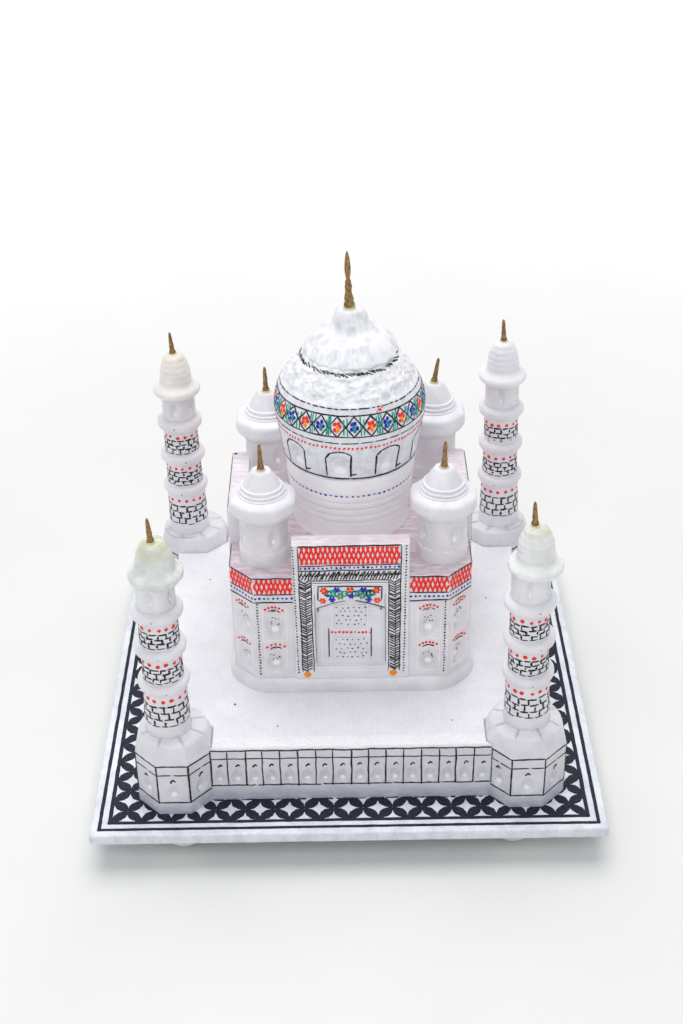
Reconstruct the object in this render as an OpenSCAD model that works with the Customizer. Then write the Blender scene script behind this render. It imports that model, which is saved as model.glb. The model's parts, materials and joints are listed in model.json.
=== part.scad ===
// Stone souvenir of a domed mausoleum on a square plinth, with four minarets that lift out.
// Millimetres. +Z up, the front faces -Y. Origin: centre of the base, on the surface that it stands on.

/* [Base plate and feet] */
// Side of the square base plate
plate_side = 150; // [140:1:170]
// Thickness of the base plate
plate_t = 3.5; // [2.5:0.1:5]
// Bevel round the plate's top edge
plate_bevel = 0.5; // [0.2:0.1:1]
// Height of a foot
foot_h = 9; // [6:0.5:12]
// Diameter of a foot where it meets the plate
foot_d = 17; // [12:0.5:20]
// Distance of a foot's centre from the middle, sideways
foot_x = 48.5; // [40:0.5:60]
// Distance of a foot's centre from the middle, front to back
foot_y = 64; // [55:0.5:66]

/* [Plinth and corner towers] */
// Width of the plinth, side to side
plinth_w = 114.4; // [112:0.1:118]
// Depth of the plinth, front to back
plinth_d = 118.4; // [114:0.1:120]
// Height of the plinth's deck above the plate
deck_h = 19.5; // [17:0.1:21]
// Bevel along the top of the plinth's walls
deck_bevel = 0.8; // [0.3:0.1:1.2]
// Width of a tower across its flats
tower_w = 22.8; // [22:0.1:24]
// Height of a tower's straight walls
tower_h = 18.8; // [16:0.1:19]
// Height of the seat that a minaret stands on
seat_h = 24.6; // [24:0.1:25.4]

/* [Main building] */
// Sideways place of the building's middle
tomb_x = 1.8; // [-2:0.1:3]
// Front-to-back place of the building's middle
tomb_y = 2.2; // [-2:0.1:3]
// Half the width of the building's walls
tomb_half = 35.6; // [34:0.1:37]
// Size of the building's cut corners
tomb_cut = 7; // [5:0.1:8]
// Height of the step's top above the plate
step_top = 24; // [22.5:0.1:25]
// Height of the roof above the plate
roof_h = 60.6; // [58:0.1:63]
// Width of a portal
portal_w = 34; // [30:0.2:36]
// Thickness of a portal slab
portal_t = 5.4; // [4.5:0.1:7]
// How far a portal stands proud of the wall
portal_proud = 0.6; // [0.3:0.1:1]
// Height of a portal's top above the plate
portal_top = 72.1; // [68:0.1:76]
// Depth of the niche in a portal
niche_depth = 1.4; // [0.8:0.1:2]

/* [Dome] */
// Height of the drum's top above the plate
drum_top = 83; // [81:0.1:84]
// Largest radius of the dome
dome_r = 22.3; // [21.5:0.1:23]
// Height of the dome's crown, where the cap sits, above the plate
crown_h = 116.6; // [115:0.1:118]
// Height of the cap's tip above the plate
cap_tip = 129.2; // [127:0.1:131]
// Height of the finial's tip above the plate
finial_tip = 146.6; // [142:0.1:150]

/* [Kiosks] */
// Radius of a kiosk's body
kiosk_r = 7.1; // [6.5:0.1:7.4]
// Height of a kiosk's body
kiosk_h = 14.6; // [13:0.1:16]
// Width of a kiosk's eight-sided eave across its flats
eave_w = 19.4; // [18:0.1:20]

/* [Minarets] */
// Radius of a minaret's foot
shaft_r = 6.6; // [6:0.1:7]
// Radius of a ring balcony
balcony_r = 7.4; // [7.1:0.1:7.8]
// Radius of the eave on a minaret's cap
cap_r = 7.8; // [7.4:0.1:8.2]
// Radius of the dowel under a minaret
dowel_r = 2; // [1.5:0.1:2.5]
// Length of the dowel in its socket
dowel_drop = 8; // [6:0.5:12]
// Clearance round a dowel in its socket
dowel_gap = 0.05; // [0.02:0.01:0.1]

/* [Hidden] */
$fn = 48;
// A full cut, longer than the thing it cuts
OVER = 1;
// Small gap left for glue between a dowel or pin and its hole
GLUE = 0.05;

// Corners in order: front left, front right, back left, back right
CORNERS = [[-1, -1], [1, -1], [-1, 1], [1, 1]];
// Middle of the plinth, and of each hand-cut tower, and how much wider than tower_w it is
PLINTH = [0.2, -1.1];
TOWERS = [[-50.5, -54.9], [51.9, -53.8], [-51.7, 52.2], [52.5, 53.2]];
TOWER_EXTRA = [-0.4, 0.6, 0, 0];
// Where each hand-drilled socket lies, its lean to the left in degrees, and its shaft's stretch
SEATS = [[-51.8, -54.6], [52.2, -53.4], [-53.4, 51.4], [53.5, 52.8]];
LEANS = [0.4, 1.2, 0.8, 0.8];
STRETCH = [1, 1, 1, 1.05];
// How far each minaret's cap was glued to the right, the cap's height, and its pin's offset
CAP_SHIFT = [0.7, 1.2, 0, 0.2];
CAP_HEIGHTS = [12.4, 14.4, 14.4, 14.2];
PIN_SHIFT = [[-1.6, -0.8], [-0.6, 0], [-0.8, 0], [0, 0]];
// Middle of each kiosk from the building's middle, its body's extra height, and its roof's stretch
KIOSKS = [[-25.3, -22.8], [27.2, -22.8], [-25.3, 23.4], [26.8, 23.8]];
KIOSK_RISE = [0, 0, 0.6, 1.1];
ROOF_STRETCH = [1, 1, 1, 1.1];
// Middle of the dome, of its cap and of the finial, from the building's middle
DOME = [0.5, 0.3];
CAP_AT = [1.1, 0.3];
FINIAL_AT = [0.8, 0.3];
// The finial's lean to the left, in degrees
FINIAL_LEAN = 1.6;
// Turn of each portal about the building's middle: front, right, back, left
PORTAL_TURNS = [0, 90, 180, 270];

// Top of the base plate, from which the heights above are counted
plate_top = foot_h + plate_t;
// Radius of an eight-sided piece's corners, from its width across flats
function corner_r(width) = width / 2 / cos(22.5);
// Half the inside size of a notch that holds a portal
notch_floor = tomb_half + portal_proud - portal_t;

// ---- shapes that repeat ----

// Points of a smooth curve from a to d, pulled towards b and c
function curve(a, b, c, d, steps) = [
    for (i = [0 : steps])
        let (t = i / steps, u = 1 - t)
        u * u * u * a + 3 * u * u * t * b + 3 * u * t * t * c + t * t * t * d
];

// Points of a round stretch, centre c, radius r, from angle a0 to a1
function arc(c, r, a0, a1, steps) = [
    for (i = [0 : steps])
        let (a = a0 + (a1 - a0) * i / steps)
        c + r * [cos(a), sin(a)]
];

// Outline of a slab seen end on, with its two top edges bevelled
function bevelled_end(w, t, b) = [
    [-w / 2, 0], [w / 2, 0], [w / 2, t - b], [w / 2 - b, t], [-w / 2 + b, t], [-w / 2, t - b]
];

// Slab on z = 0, width by depth, with its top edges bevelled
module bevelled_slab(w, d, t, b) {
    intersection() {
        rotate([90, 0, 0])
            linear_extrude(d, center = true)
                polygon(bevelled_end(w, t, b));
        rotate([90, 0, 90])
            linear_extrude(w, center = true)
                polygon(bevelled_end(d, t, b));
    }
}

// Upright eight-sided post between two heights
module post(width, z_low, z_high) {
    translate([0, 0, z_low])
        rotate(22.5)
            cylinder(h = z_high - z_low, r = corner_r(width), $fn = 8);
}

// Eight-sided solid whose flats follow one side line of [half width, height] points, bottom to top
module eight_sided(side) {
    points = len(side) - 1;
    mirrored = [for (k = [points : -1 : 0]) [-side[k][0], side[k][1]]];
    intersection_for (turn = [0, 45, 90, 135])
        rotate([90, 0, turn])
            linear_extrude(4 * side[0][0], center = true)
                polygon(concat(side, mirrored));
}

// Turned piece whose outline runs from the axis, out and up, and back to the axis
module turned(outline) {
    rotate_extrude()
        polygon(concat([[0, outline[0][1]]], outline, [[0, outline[len(outline) - 1][1]]]));
}

// Round rod along +Z between two heights
module rod(r, z_low, z_high) {
    translate([0, 0, z_low])
        cylinder(h = z_high - z_low, r = r);
}

// Puts a child on the plate's top, in the middle of the tower at corner i
module at_tower(i) {
    translate([TOWERS[i][0], TOWERS[i][1], plate_top])
        children();
}

// Puts a child on the seat of minaret i, with that socket's own lean
module at_seat(i) {
    translate([SEATS[i][0], SEATS[i][1], plate_top + seat_h])
        rotate([0, -LEANS[i], 0])
            children();
}

// Puts a child on the roof at kiosk i
module at_kiosk(i) {
    translate([tomb_x + KIOSKS[i][0], tomb_y + KIOSKS[i][1], plate_top + roof_h])
        children();
}

// Puts a child in the middle of the building, or beside it, on the plate's top
module at_tomb(beside = [0, 0]) {
    translate([tomb_x + beside[0], tomb_y + beside[1], plate_top])
        children();
}

// ---- base ----

module base_plate() {
    color([0.78, 0.81, 0.86])
        translate([0, 0, foot_h])
            bevelled_slab(plate_side, plate_side, plate_t, plate_bevel);
}

foot_flat_r = 2.2;
module foot(i) {
    color([0.86, 0.87, 0.80])
        translate([CORNERS[i][0] * foot_x, CORNERS[i][1] * foot_y, 0])
            turned(curve([foot_flat_r, 0], [4.6, 1.2], [7.6, 5], [foot_d / 2, foot_h], 8));
}

module plinth() {
    color([0.90, 0.89, 0.92])
        difference() {
            translate([PLINTH[0], PLINTH[1], plate_top])
                bevelled_slab(plinth_w, plinth_d, deck_h, deck_bevel);
            for (i = [0 : 3])
                at_tower(i)
                    post(tower_w + TOWER_EXTRA[i], -OVER, deck_h + OVER);
        }
}

// A tower's top: a steep bevel, then a low pyramid up to the seat
tower_bevel = 1.3;
tower_bevel_top = 21.6;
tower_tip_w = 14.4;
socket_depth = dowel_drop + 1;
seat_cut_r = shaft_r + 0.4;
module tower(i) {
    w = tower_w + TOWER_EXTRA[i];
    color([0.90, 0.89, 0.90])
        difference() {
            at_tower(i)
                eight_sided([
                    [w / 2, 0], [w / 2, tower_h], [w / 2 - tower_bevel, tower_bevel_top],
                    [tower_tip_w / 2, seat_h + 0.2]
                ]);
            at_seat(i)
                rod(seat_cut_r, 0, 3 * OVER);
            at_seat(i)
                rod(dowel_r + dowel_gap, -socket_depth, OVER);
        }
}

// ---- main building ----

// Square with cut corners
function cut_square(half, cut) = [
    [half, -half + cut], [half, half - cut], [half - cut, half], [-half + cut, half],
    [-half, half - cut], [-half, -half + cut], [-half + cut, -half], [half - cut, -half]
];

step_ledge = 1.6;
module tomb_step() {
    color([0.84, 0.83, 0.83])
        at_tomb()
            translate([0, 0, deck_h])
                linear_extrude(step_top - deck_h)
                    polygon(cut_square(tomb_half + step_ledge, tomb_cut + step_ledge));
}

dome_dowel_r = 3;
dome_dowel_drop = 8;
dome_dowel_rise = 10;
module tomb_block() {
    color([0.88, 0.86, 0.87])
        at_tomb()
            difference() {
                translate([0, 0, step_top])
                    linear_extrude(roof_h - step_top)
                        polygon(cut_square(tomb_half, tomb_cut));
                for (a = PORTAL_TURNS)
                    rotate(a)
                        translate([-portal_w / 2, -tomb_half - OVER, step_top - OVER])
                            cube([portal_w, tomb_half + OVER - notch_floor, roof_h - step_top + 2 * OVER]);
                translate([DOME[0], DOME[1], 0])
                    rod(dome_dowel_r + GLUE, roof_h - dome_dowel_drop, roof_h + OVER);
            }
}

// A portal's niche: straight sides under a flat pointed arch
niche_w = 20.6;
niche_sill = 28;
niche_spring = 49.6;
niche_tip = 52.4;
function niche_outline() = concat(
    [[-niche_w / 2, niche_sill], [niche_w / 2, niche_sill]],
    curve([niche_w / 2, niche_spring], [niche_w / 3, niche_spring + 1.4],
          [2, niche_tip - 0.6], [0, niche_tip], 6),
    curve([-2, niche_tip - 0.6], [-niche_w / 4, niche_spring + 2], [-niche_w / 3, niche_spring + 1.4],
          [-niche_w / 2, niche_spring], 6)
);

module portal(n) {
    color([0.90, 0.86, 0.88])
        at_tomb()
            rotate(PORTAL_TURNS[n])
                translate([0, -tomb_half - portal_proud, 0])
                    difference() {
                        translate([-portal_w / 2, 0, step_top])
                            cube([portal_w, portal_t, portal_top - step_top]);
                        translate([0, niche_depth, 0])
                            rotate([90, 0, 0])
                                linear_extrude(niche_depth + OVER)
                                    polygon(niche_outline());
                    }
}

// ---- dome ----

module dome_dowel() {
    color([0.75, 0.62, 0.42])
        at_tomb(DOME)
            rod(dome_dowel_r, roof_h - dome_dowel_drop, roof_h + dome_dowel_rise);
}

neck_r = 17.5;
band_r = 19.3;
ring_low = 68;
ring_rise = 2.45;
ring_step = 0.34;
module drum() {
    color([0.88, 0.86, 0.86])
        at_tomb(DOME)
            difference() {
                turned(concat(
                    [[neck_r, roof_h], [neck_r + 0.2, ring_low - 1.2]],
                    [for (k = [0 : 3])
                        for (p = [[-0.35, 0], [0, 0.5], [0, ring_rise - 0.5]])
                            [neck_r + 0.5 + k * ring_step + p[0], ring_low + k * ring_rise + p[1] - 0.6]],
                    [[band_r, ring_low + 3 * ring_rise + 2.2], [band_r, drum_top]]
                ));
                rod(dome_dowel_r + GLUE, roof_h - OVER, roof_h + dome_dowel_rise + GLUE);
            }
}

rim_r = 19.9;
crown_r = 12.8;
module dome() {
    color([0.90, 0.90, 0.93])
        at_tomb(DOME)
            turned(concat(
                [[band_r, drum_top], [rim_r, drum_top + 0.6]],
                curve([rim_r, drum_top + 1.2], [20.8, 89], [dome_r, 93.5], [dome_r, 98.5], 8),
                curve([dome_r - 0.02, 99.2], [dome_r - 0.2, 103.6], [19.2, 108.8], [crown_r, crown_h], 10)
            ));
}

shank_r = 0.6;
cap_hole_depth = 6;
skirt_r = 13.4;
module dome_cap() {
    color([0.90, 0.90, 0.93])
        at_tomb(CAP_AT)
            difference() {
                turned(concat(
                    [[skirt_r - 0.6, crown_h]],
                    curve([skirt_r, crown_h + 0.4], [12.9, 118.6], [11.2, 120.9], [8.8, 122.3], 6),
                    curve([6.8, 123.2], [5.6, 124.2], [5.2, 125.4], [4.6, 127.4], 5),
                    [[4, 128.5], [3, cap_tip]]
                ));
                translate([FINIAL_AT[0] - CAP_AT[0], 0, cap_tip])
                    rotate([0, -FINIAL_LEAN, 0])
                        rod(shank_r + GLUE, -cap_hole_depth, OVER);
            }
}

module dome_finial() {
    tip = finial_tip - cap_tip;
    color([0.47, 0.33, 0.16])
        at_tomb(FINIAL_AT)
            translate([0, 0, cap_tip])
                rotate([0, -FINIAL_LEAN, 0])
                    turned(concat(
                        [[shank_r, 0.5 - cap_hole_depth], [shank_r, 0]],
                        arc([0, 1.1], 1.5, -47, 50, 8),
                        [[1.35, 2.6], [1.2, 4.2], [0.9, 5.4], [1, 6.6], [0.92, 8]],
                        curve([0.6, 8.6], [0.95, 10], [0.95, 14], [0.2, tip], 6)
                    ));
}

// ---- roof kiosks ----

kiosk_band_h = 4.4;
kiosk_band = 0.35;
module kiosk_body(i) {
    color([0.86, 0.84, 0.84])
        at_kiosk(i)
            turned([
                [kiosk_r + kiosk_band, 0], [kiosk_r + kiosk_band, kiosk_band_h - 0.3],
                [kiosk_r, kiosk_band_h], [kiosk_r, kiosk_h + KIOSK_RISE[i]]
            ]);
}

// Height of roof i's point at height z on an unstretched kiosk
function roof_z(i, z) = kiosk_h + KIOSK_RISE[i] + (z - kiosk_h) * ROOF_STRETCH[i];
eave_mid = kiosk_h + 2.4;
eave_high = eave_mid + 3.6;
eave_top = eave_high + 1;
kiosk_tip = 29;
kiosk_hole = 4;
pin_r = 0.5;
module kiosk_roof(i) {
    color([0.89, 0.88, 0.87])
        at_kiosk(i)
            difference() {
                union() {
                    eight_sided([
                        [kiosk_r + 0.8, roof_z(i, kiosk_h)], [eave_w / 2, roof_z(i, eave_mid)],
                        [eave_w / 2, roof_z(i, eave_high)], [eave_w / 2 - 1.8, roof_z(i, eave_top)]
                    ]);
                    turned([
                        for (p = concat(
                            [[7.3, 0.2], [7.3, 1.6], [6.7, 1.8], [6.7, 2.6],
                             [6.1, 2.8], [6.1, 3.6], [5.5, 3.8]],
                            curve([5.3, 4.2], [5, 6.2], [4, 7.4], [2.2, kiosk_tip - eave_high], 6)
                        ))
                            [p[0], roof_z(i, eave_high + p[1])]
                    ]);
                }
                rod(pin_r + GLUE, roof_z(i, kiosk_tip) - kiosk_hole, roof_z(i, kiosk_tip) + OVER);
            }
}

pin_h = 8.4;
// Brass pin with a little ball at its foot, standing at height z with its shank below
module brass_pin(z, shank, length) {
    color([0.47, 0.33, 0.16])
        turned(concat(
            [[pin_r, z - shank], [pin_r, z]],
            arc([0, z + 0.7], 1.1, -39, 35, 6),
            [[0.8, z + 1.6], [0.42, z + length - 0.3], [0.15, z + length]]
        ));
}

module kiosk_pin(i) {
    at_kiosk(i)
        brass_pin(roof_z(i, kiosk_tip), kiosk_hole - 0.3, pin_h);
}

// ---- minarets, in their own frame with the seat at z = 0 ----

dowel_rise = 6;
module dowel(i) {
    color([0.75, 0.62, 0.42])
        at_seat(i)
            rod(dowel_r, -dowel_drop, dowel_rise);
}

// Outline of one ring balcony with its rim at height z, from the shaft below to the shaft above
function balcony(z, r_below, r_above) = concat(
    [[r_below, z - 2.9]],
    curve([r_below + 0.25, z - 2.3], [balcony_r - 0.5, z - 2],
          [balcony_r, z - 1.4], [balcony_r, z - 0.2], 4),
    curve([balcony_r - 0.1, z + 0.3], [balcony_r - 0.4, z + 0.9],
          [balcony_r - 0.9, z + 1.1], [r_above + 0.3, z + 1.1], 3),
    [[r_above, z + 1.3]]
);

RIMS = [17.7, 29.7, 42.1];
shaft_top = 43.2;
module shaft(i) {
    k = STRETCH[i];
    color([0.87, 0.86, 0.88])
        at_seat(i)
            difference() {
                turned(concat(
                    [[shaft_r, 0], [shaft_r - 0.15, 4 * k]],
                    balcony(RIMS[0] * k, 6.2, 5.8),
                    balcony(RIMS[1] * k, 5.7, 5.65),
                    balcony(RIMS[2] * k, 5.55, 5.5)
                ));
                rod(dowel_r + GLUE, -OVER, dowel_rise + GLUE);
            }
}

lantern_r = 5.5;
lantern_h = 8.2;
// Height of the lantern's foot, and of its top, on minaret i
function lantern_z(i) = RIMS[2] * STRETCH[i] + 1.3;
function cap_z(i) = lantern_z(i) + lantern_h;
module lantern(i) {
    color([0.80, 0.79, 0.80])
        at_seat(i)
            rod(lantern_r, lantern_z(i), cap_z(i));
}

cap_hole = 4;
module cap(i) {
    z = cap_z(i);
    h = CAP_HEIGHTS[i];
    color([0.87, 0.86, 0.84])
        at_seat(i)
            translate([CAP_SHIFT[i], 0, 0])
                difference() {
                    turned(concat(
                        [[lantern_r + 0.9, z]],
                        curve([cap_r - 0.5, z + 0.7], [cap_r, z + 1.2],
                              [cap_r, z + 2.4], [cap_r - 0.5, z + 3.2], 5),
                        [[5.6, z + 4.6]],
                        curve([5.35, z + 5], [5.1, z + 0.6 * h], [4.2, z + 0.8 * h], [3.2, z + h - 0.6], 6),
                        [[2.5, z + h]]
                    ));
                    translate([PIN_SHIFT[i][0], PIN_SHIFT[i][1], 0])
                        rod(pin_r + GLUE, z + h - cap_hole, z + h + OVER);
                }
}

minaret_pin_h = 7.6;
module pin(i) {
    at_seat(i)
        translate([CAP_SHIFT[i] + PIN_SHIFT[i][0], PIN_SHIFT[i][1], 0])
            brass_pin(cap_z(i) + CAP_HEIGHTS[i], cap_hole - 0.3, minaret_pin_h);
}

// ---- every piece, by name ----

base_plate();
foot(0);  // foot_front_left
foot(1);  // foot_front_right
foot(2);  // foot_back_left
foot(3);  // foot_back_right
plinth();
tower(0);  // tower_front_left
tower(1);  // tower_front_right
tower(2);  // tower_back_left
tower(3);  // tower_back_right
tomb_step();
tomb_block();
portal(0);  // portal_front
portal(1);  // portal_right
portal(2);  // portal_back
portal(3);  // portal_left
dome_dowel();
drum();
dome();
dome_cap();
dome_finial();
kiosk_body(0);  // kiosk_body_front_left
kiosk_body(1);  // kiosk_body_front_right
kiosk_body(2);  // kiosk_body_back_left
kiosk_body(3);  // kiosk_body_back_right
kiosk_roof(0);  // kiosk_roof_front_left
kiosk_roof(1);  // kiosk_roof_front_right
kiosk_roof(2);  // kiosk_roof_back_left
kiosk_roof(3);  // kiosk_roof_back_right
kiosk_pin(0);  // kiosk_pin_front_left
kiosk_pin(1);  // kiosk_pin_front_right
kiosk_pin(2);  // kiosk_pin_back_left
kiosk_pin(3);  // kiosk_pin_back_right
dowel(0);  // dowel_front_left
dowel(1);  // dowel_front_right
dowel(2);  // dowel_back_left
dowel(3);  // dowel_back_right
shaft(0);  // shaft_front_left
shaft(1);  // shaft_front_right
shaft(2);  // shaft_back_left
shaft(3);  // shaft_back_right
lantern(0);  // lantern_front_left
lantern(1);  // lantern_front_right
lantern(2);  // lantern_back_left
lantern(3);  // lantern_back_right
cap(0);  // cap_front_left
cap(1);  // cap_front_right
cap(2);  // cap_back_left
cap(3);  // cap_back_right
pin(0);  // pin_front_left
pin(1);  // pin_front_right
pin(2);  // pin_back_left
pin(3);  // pin_back_right
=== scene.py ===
# %% [markdown]
# # A white stone souvenir, built around its CAD frame
# The object is a palm-high model of a domed mausoleum. It is turned, sawn and scooped out of soft white
# alabaster, glued together, painted by hand with a fine brush, and it stands on a printed stone plate.
# The frame below comes from the CAD model, so every piece goes where that model says.

# %% Load the frame
import json
import math
import random

import bpy
import numpy as np
from mathutils import Matrix, Vector


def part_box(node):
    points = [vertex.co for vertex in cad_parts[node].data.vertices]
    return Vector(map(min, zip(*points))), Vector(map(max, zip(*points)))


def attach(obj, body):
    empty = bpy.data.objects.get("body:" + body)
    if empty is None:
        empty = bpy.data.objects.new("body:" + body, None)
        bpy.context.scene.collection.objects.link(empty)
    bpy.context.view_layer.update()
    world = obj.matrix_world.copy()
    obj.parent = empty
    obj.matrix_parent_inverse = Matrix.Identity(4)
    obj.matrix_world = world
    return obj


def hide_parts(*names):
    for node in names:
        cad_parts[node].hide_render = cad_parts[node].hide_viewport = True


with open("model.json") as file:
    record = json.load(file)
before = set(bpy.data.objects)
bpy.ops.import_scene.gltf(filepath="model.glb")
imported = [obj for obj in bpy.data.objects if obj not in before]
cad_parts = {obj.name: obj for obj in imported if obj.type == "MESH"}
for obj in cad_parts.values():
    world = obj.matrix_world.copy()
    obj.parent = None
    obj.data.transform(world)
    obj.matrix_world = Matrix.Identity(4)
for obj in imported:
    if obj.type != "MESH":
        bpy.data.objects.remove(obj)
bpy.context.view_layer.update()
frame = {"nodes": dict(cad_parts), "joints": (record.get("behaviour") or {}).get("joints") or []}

MM = 0.001

# %% [markdown]
# Every height and centre is read off the boxes of the CAD pieces. A stone carver works the same way: the
# base is trued first, and everything else is marked out from it.

# %% Heights and middles, in millimetres


def span(node):
    low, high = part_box(node)
    return np.array(low) / MM, np.array(high) / MM


def middle(node):
    low, high = span(node)
    return (low + high) / 2


CORNERS = ("front_left", "front_right", "back_left", "back_right")
TOP = span("base_plate")[1][2]
DECK = span("plinth")[1][2]
STEP = span("tomb_step")[1][2]
ROOF = span("tomb_block")[1][2]
TOMB = middle("tomb_block")[:2]
AXIS = middle("drum")[:2]
print("plate top", round(TOP, 1), "deck", round(DECK, 1), "roof", round(ROOF, 1), "dome axis", AXIS.round(1))

# %% Each minaret's seat and leaning axis
LIFTS = {joint["child"]: np.array(joint["axis"], float) for joint in frame["joints"]}
DOWEL_MIDDLE = 1.0


def seat_of(corner):
    """The point where a minaret stands, and the axis that it leans along."""
    up = LIFTS["minaret_" + corner]
    up = up / np.linalg.norm(up)
    return middle("dowel_" + corner) + up * DOWEL_MIDDLE, up


for corner in CORNERS:
    print(corner, [a.round(3) for a in seat_of(corner)])

# %% [markdown]
# ## The camera, the floor and the light
# The camera stands about half a metre off, in front and above, and looks down by a third of a right angle.
# The souvenir is lit as small goods are lit for a catalogue: a very large soft box overhead and a little
# behind, and pale light from all round, so that tops are bright, fronts are soft grey, and the only shadow
# is the dark strip under the plate.

# %% Camera
LENS = 56.07
EYE = (0.54, -411.12, 338.37)
YAW, PITCH, ROLL = 0.168, 32.737, 1.034

lens = bpy.data.cameras.new("camera")
lens.sensor_fit = "VERTICAL"
lens.sensor_height = 36
lens.sensor_width = 24
lens.lens = LENS
lens.clip_start = 0.01
camera = bpy.data.objects.new("camera", lens)
bpy.context.scene.collection.objects.link(camera)
turn = (
    Matrix.Rotation(math.radians(YAW), 4, "Z")
    @ Matrix.Rotation(-math.radians(PITCH), 4, "X")
    @ Matrix.Rotation(math.radians(ROLL), 4, "Y")
    @ Matrix.Rotation(math.pi / 2, 4, "X")
)
camera.matrix_world = Matrix.Translation(Vector(EYE) * MM) @ turn
bpy.context.scene.camera = camera
print("camera at", camera.location, "lens", LENS)

# %% Light


def soft_box(name, size, place, aim, power, tint):
    """A square lamp that lights the model from place and faces aim."""
    lamp = bpy.data.lights.new(name, "AREA")
    lamp.shape = "SQUARE"
    lamp.size = size
    lamp.energy = power
    lamp.color = tint
    box = bpy.data.objects.new(name, lamp)
    box.location = place
    box.rotation_euler = (Vector(aim) - Vector(place)).to_track_quat("-Z", "Y").to_euler()
    bpy.context.scene.collection.objects.link(box)
    return box


soft_box("soft_box_above", 1.0, (-0.04, 0.34, 1.15), (0, 0, 0.05), 10.1, (1.0, 0.99, 0.97))
soft_box("soft_box_left", 0.7, (-0.95, -0.35, 0.65), (0, 0, 0.05), 0.45, (1.0, 0.99, 0.98))
soft_box("soft_box_front", 0.5, (-0.10, -0.75, 0.95), (0, 0, 0.06), 2.8, (0.98, 0.99, 1.0))

world = bpy.data.worlds.new("pale_room")
bpy.context.scene.world = world
world.use_nodes = True
room = world.node_tree.nodes["Background"]
room.inputs["Color"].default_value = (0.93, 0.95, 1.0, 1)
room.inputs["Strength"].default_value = 0.50
bpy.context.scene.view_settings.view_transform = "Standard"

# %% [markdown]
# ## Small tools for materials
# A finish is a few noises mixed into one shader. The helpers below keep each recipe to a few lines: one
# makes a node and joins its inputs, one blends two colours by a mask, and one turns a noise into a mask.

# %% Node helpers


class Recipe:
    """A material whose nodes are made and joined by short calls."""

    def __init__(self, name):
        self.material = bpy.data.materials.new(name)
        self.material.use_nodes = True
        self.nodes = self.material.node_tree.nodes
        self.links = self.material.node_tree.links
        self.shader = self.nodes["Principled BSDF"]
        self.place = self.node("ShaderNodeTexCoord").outputs["Object"]

    def node(self, kind, joins=None, **facts):
        made = self.nodes.new(kind)
        for key, value in facts.items():
            setattr(made, key, value)
        for socket, value in (joins or {}).items():
            self.give(made.inputs[socket], value)
        return made

    def give(self, socket, value):
        if isinstance(value, bpy.types.NodeSocket):
            self.links.new(value, socket)
        elif isinstance(value, tuple) and len(value) == 3 and socket.type == "RGBA":
            socket.default_value = (*value, 1)
        else:
            socket.default_value = value

    def noise(self, size_mm, detail=3, roughness=0.55, stretch=None, shift=0.0):
        """Noise whose lumps are about size_mm wide, or stretched along an axis."""
        where = self.place
        if stretch or shift:
            scale = stretch or (1, 1, 1)
            joins = {"Vector": where, "Scale": scale, "Location": (shift, shift, shift)}
            where = self.node("ShaderNodeMapping", joins).outputs["Vector"]
        joins = {"Vector": where, "Scale": 1 / (size_mm * MM), "Detail": detail, "Roughness": roughness}
        return self.node("ShaderNodeTexNoise", joins).outputs["Fac"]

    def cells(self, size_mm, output="Distance", shift=0.0):
        joins = {"Vector": self.place, "Scale": 1 / (size_mm * MM)}
        if shift:
            where = self.node("ShaderNodeMapping", {"Vector": self.place, "Location": (shift, shift, shift)})
            joins["Vector"] = where.outputs["Vector"]
        return self.node("ShaderNodeTexVoronoi", joins).outputs[output]

    def lines(self, pitch_mm, direction, waver=0.5):
        """Even lines across X or Y, 0 between them and 1 on them."""
        joins = {"Vector": self.place, "Scale": 2 * math.pi / 20 / (pitch_mm * MM), "Distortion": waver}
        joins["Detail Scale"] = 2.5
        made = self.node("ShaderNodeTexWave", joins, bands_direction=direction)
        return made.outputs["Fac"]

    def mask(self, value, low, high):
        """0 below low, 1 above high, smooth between."""
        joins = {"Value": value, "From Min": low, "From Max": high}
        made = self.node("ShaderNodeMapRange", joins, interpolation_type="SMOOTHSTEP")
        return made.outputs["Result"]

    def times(self, a, b, operation="MULTIPLY"):
        made = self.node("ShaderNodeMath", operation=operation)
        self.give(made.inputs[0], a)
        self.give(made.inputs[1], b)
        return made.outputs["Value"]

    def blend(self, mask, below, above, kind="MIX"):
        made = self.node("ShaderNodeMix", data_type="RGBA", blend_type=kind)
        self.give(made.inputs[0], mask)
        self.give(made.inputs[6], below)
        self.give(made.inputs[7], above)
        return made.outputs[2]

    def bump(self, height, depth_mm, below=None):
        joins = {"Height": height, "Distance": depth_mm * MM, "Strength": 1.0}
        if below is not None:
            joins["Normal"] = below
        return self.node("ShaderNodeBump", joins).outputs["Normal"]

    def level(self):
        """The height above the floor, in metres."""
        return self.node("ShaderNodeSeparateXYZ", {"Vector": self.place}).outputs["Z"]

    def finish(self, **sockets):
        for name, value in sockets.items():
            self.give(self.shader.inputs[name.replace("_", " ")], value)
        return self.material


print("a recipe offers", [name for name in vars(Recipe) if not name.startswith("_")])

# %% [markdown]
# ## Alabaster
# Alabaster lets light in a few millimetres and scatters it, so shaded walls glow a little and edges look
# soft. It is a mass of fine crystals: up close it shows pale clouds, tiny bright grains and darker flecks,
# and a waxed surface that is glossy only in patches. Subsurface scattering gives the depth, two sizes of
# noise give the clouds, and small cells give the grains.

# %% The stone recipe
SCATTER = (1.0, 0.82, 0.72)
SPARKLE_BEGIN, SPARKLE_FULL = 106.5, 108.5  # the heights between which the painted sparkle and shade of the crown's cut crystal faces fade in


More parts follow.
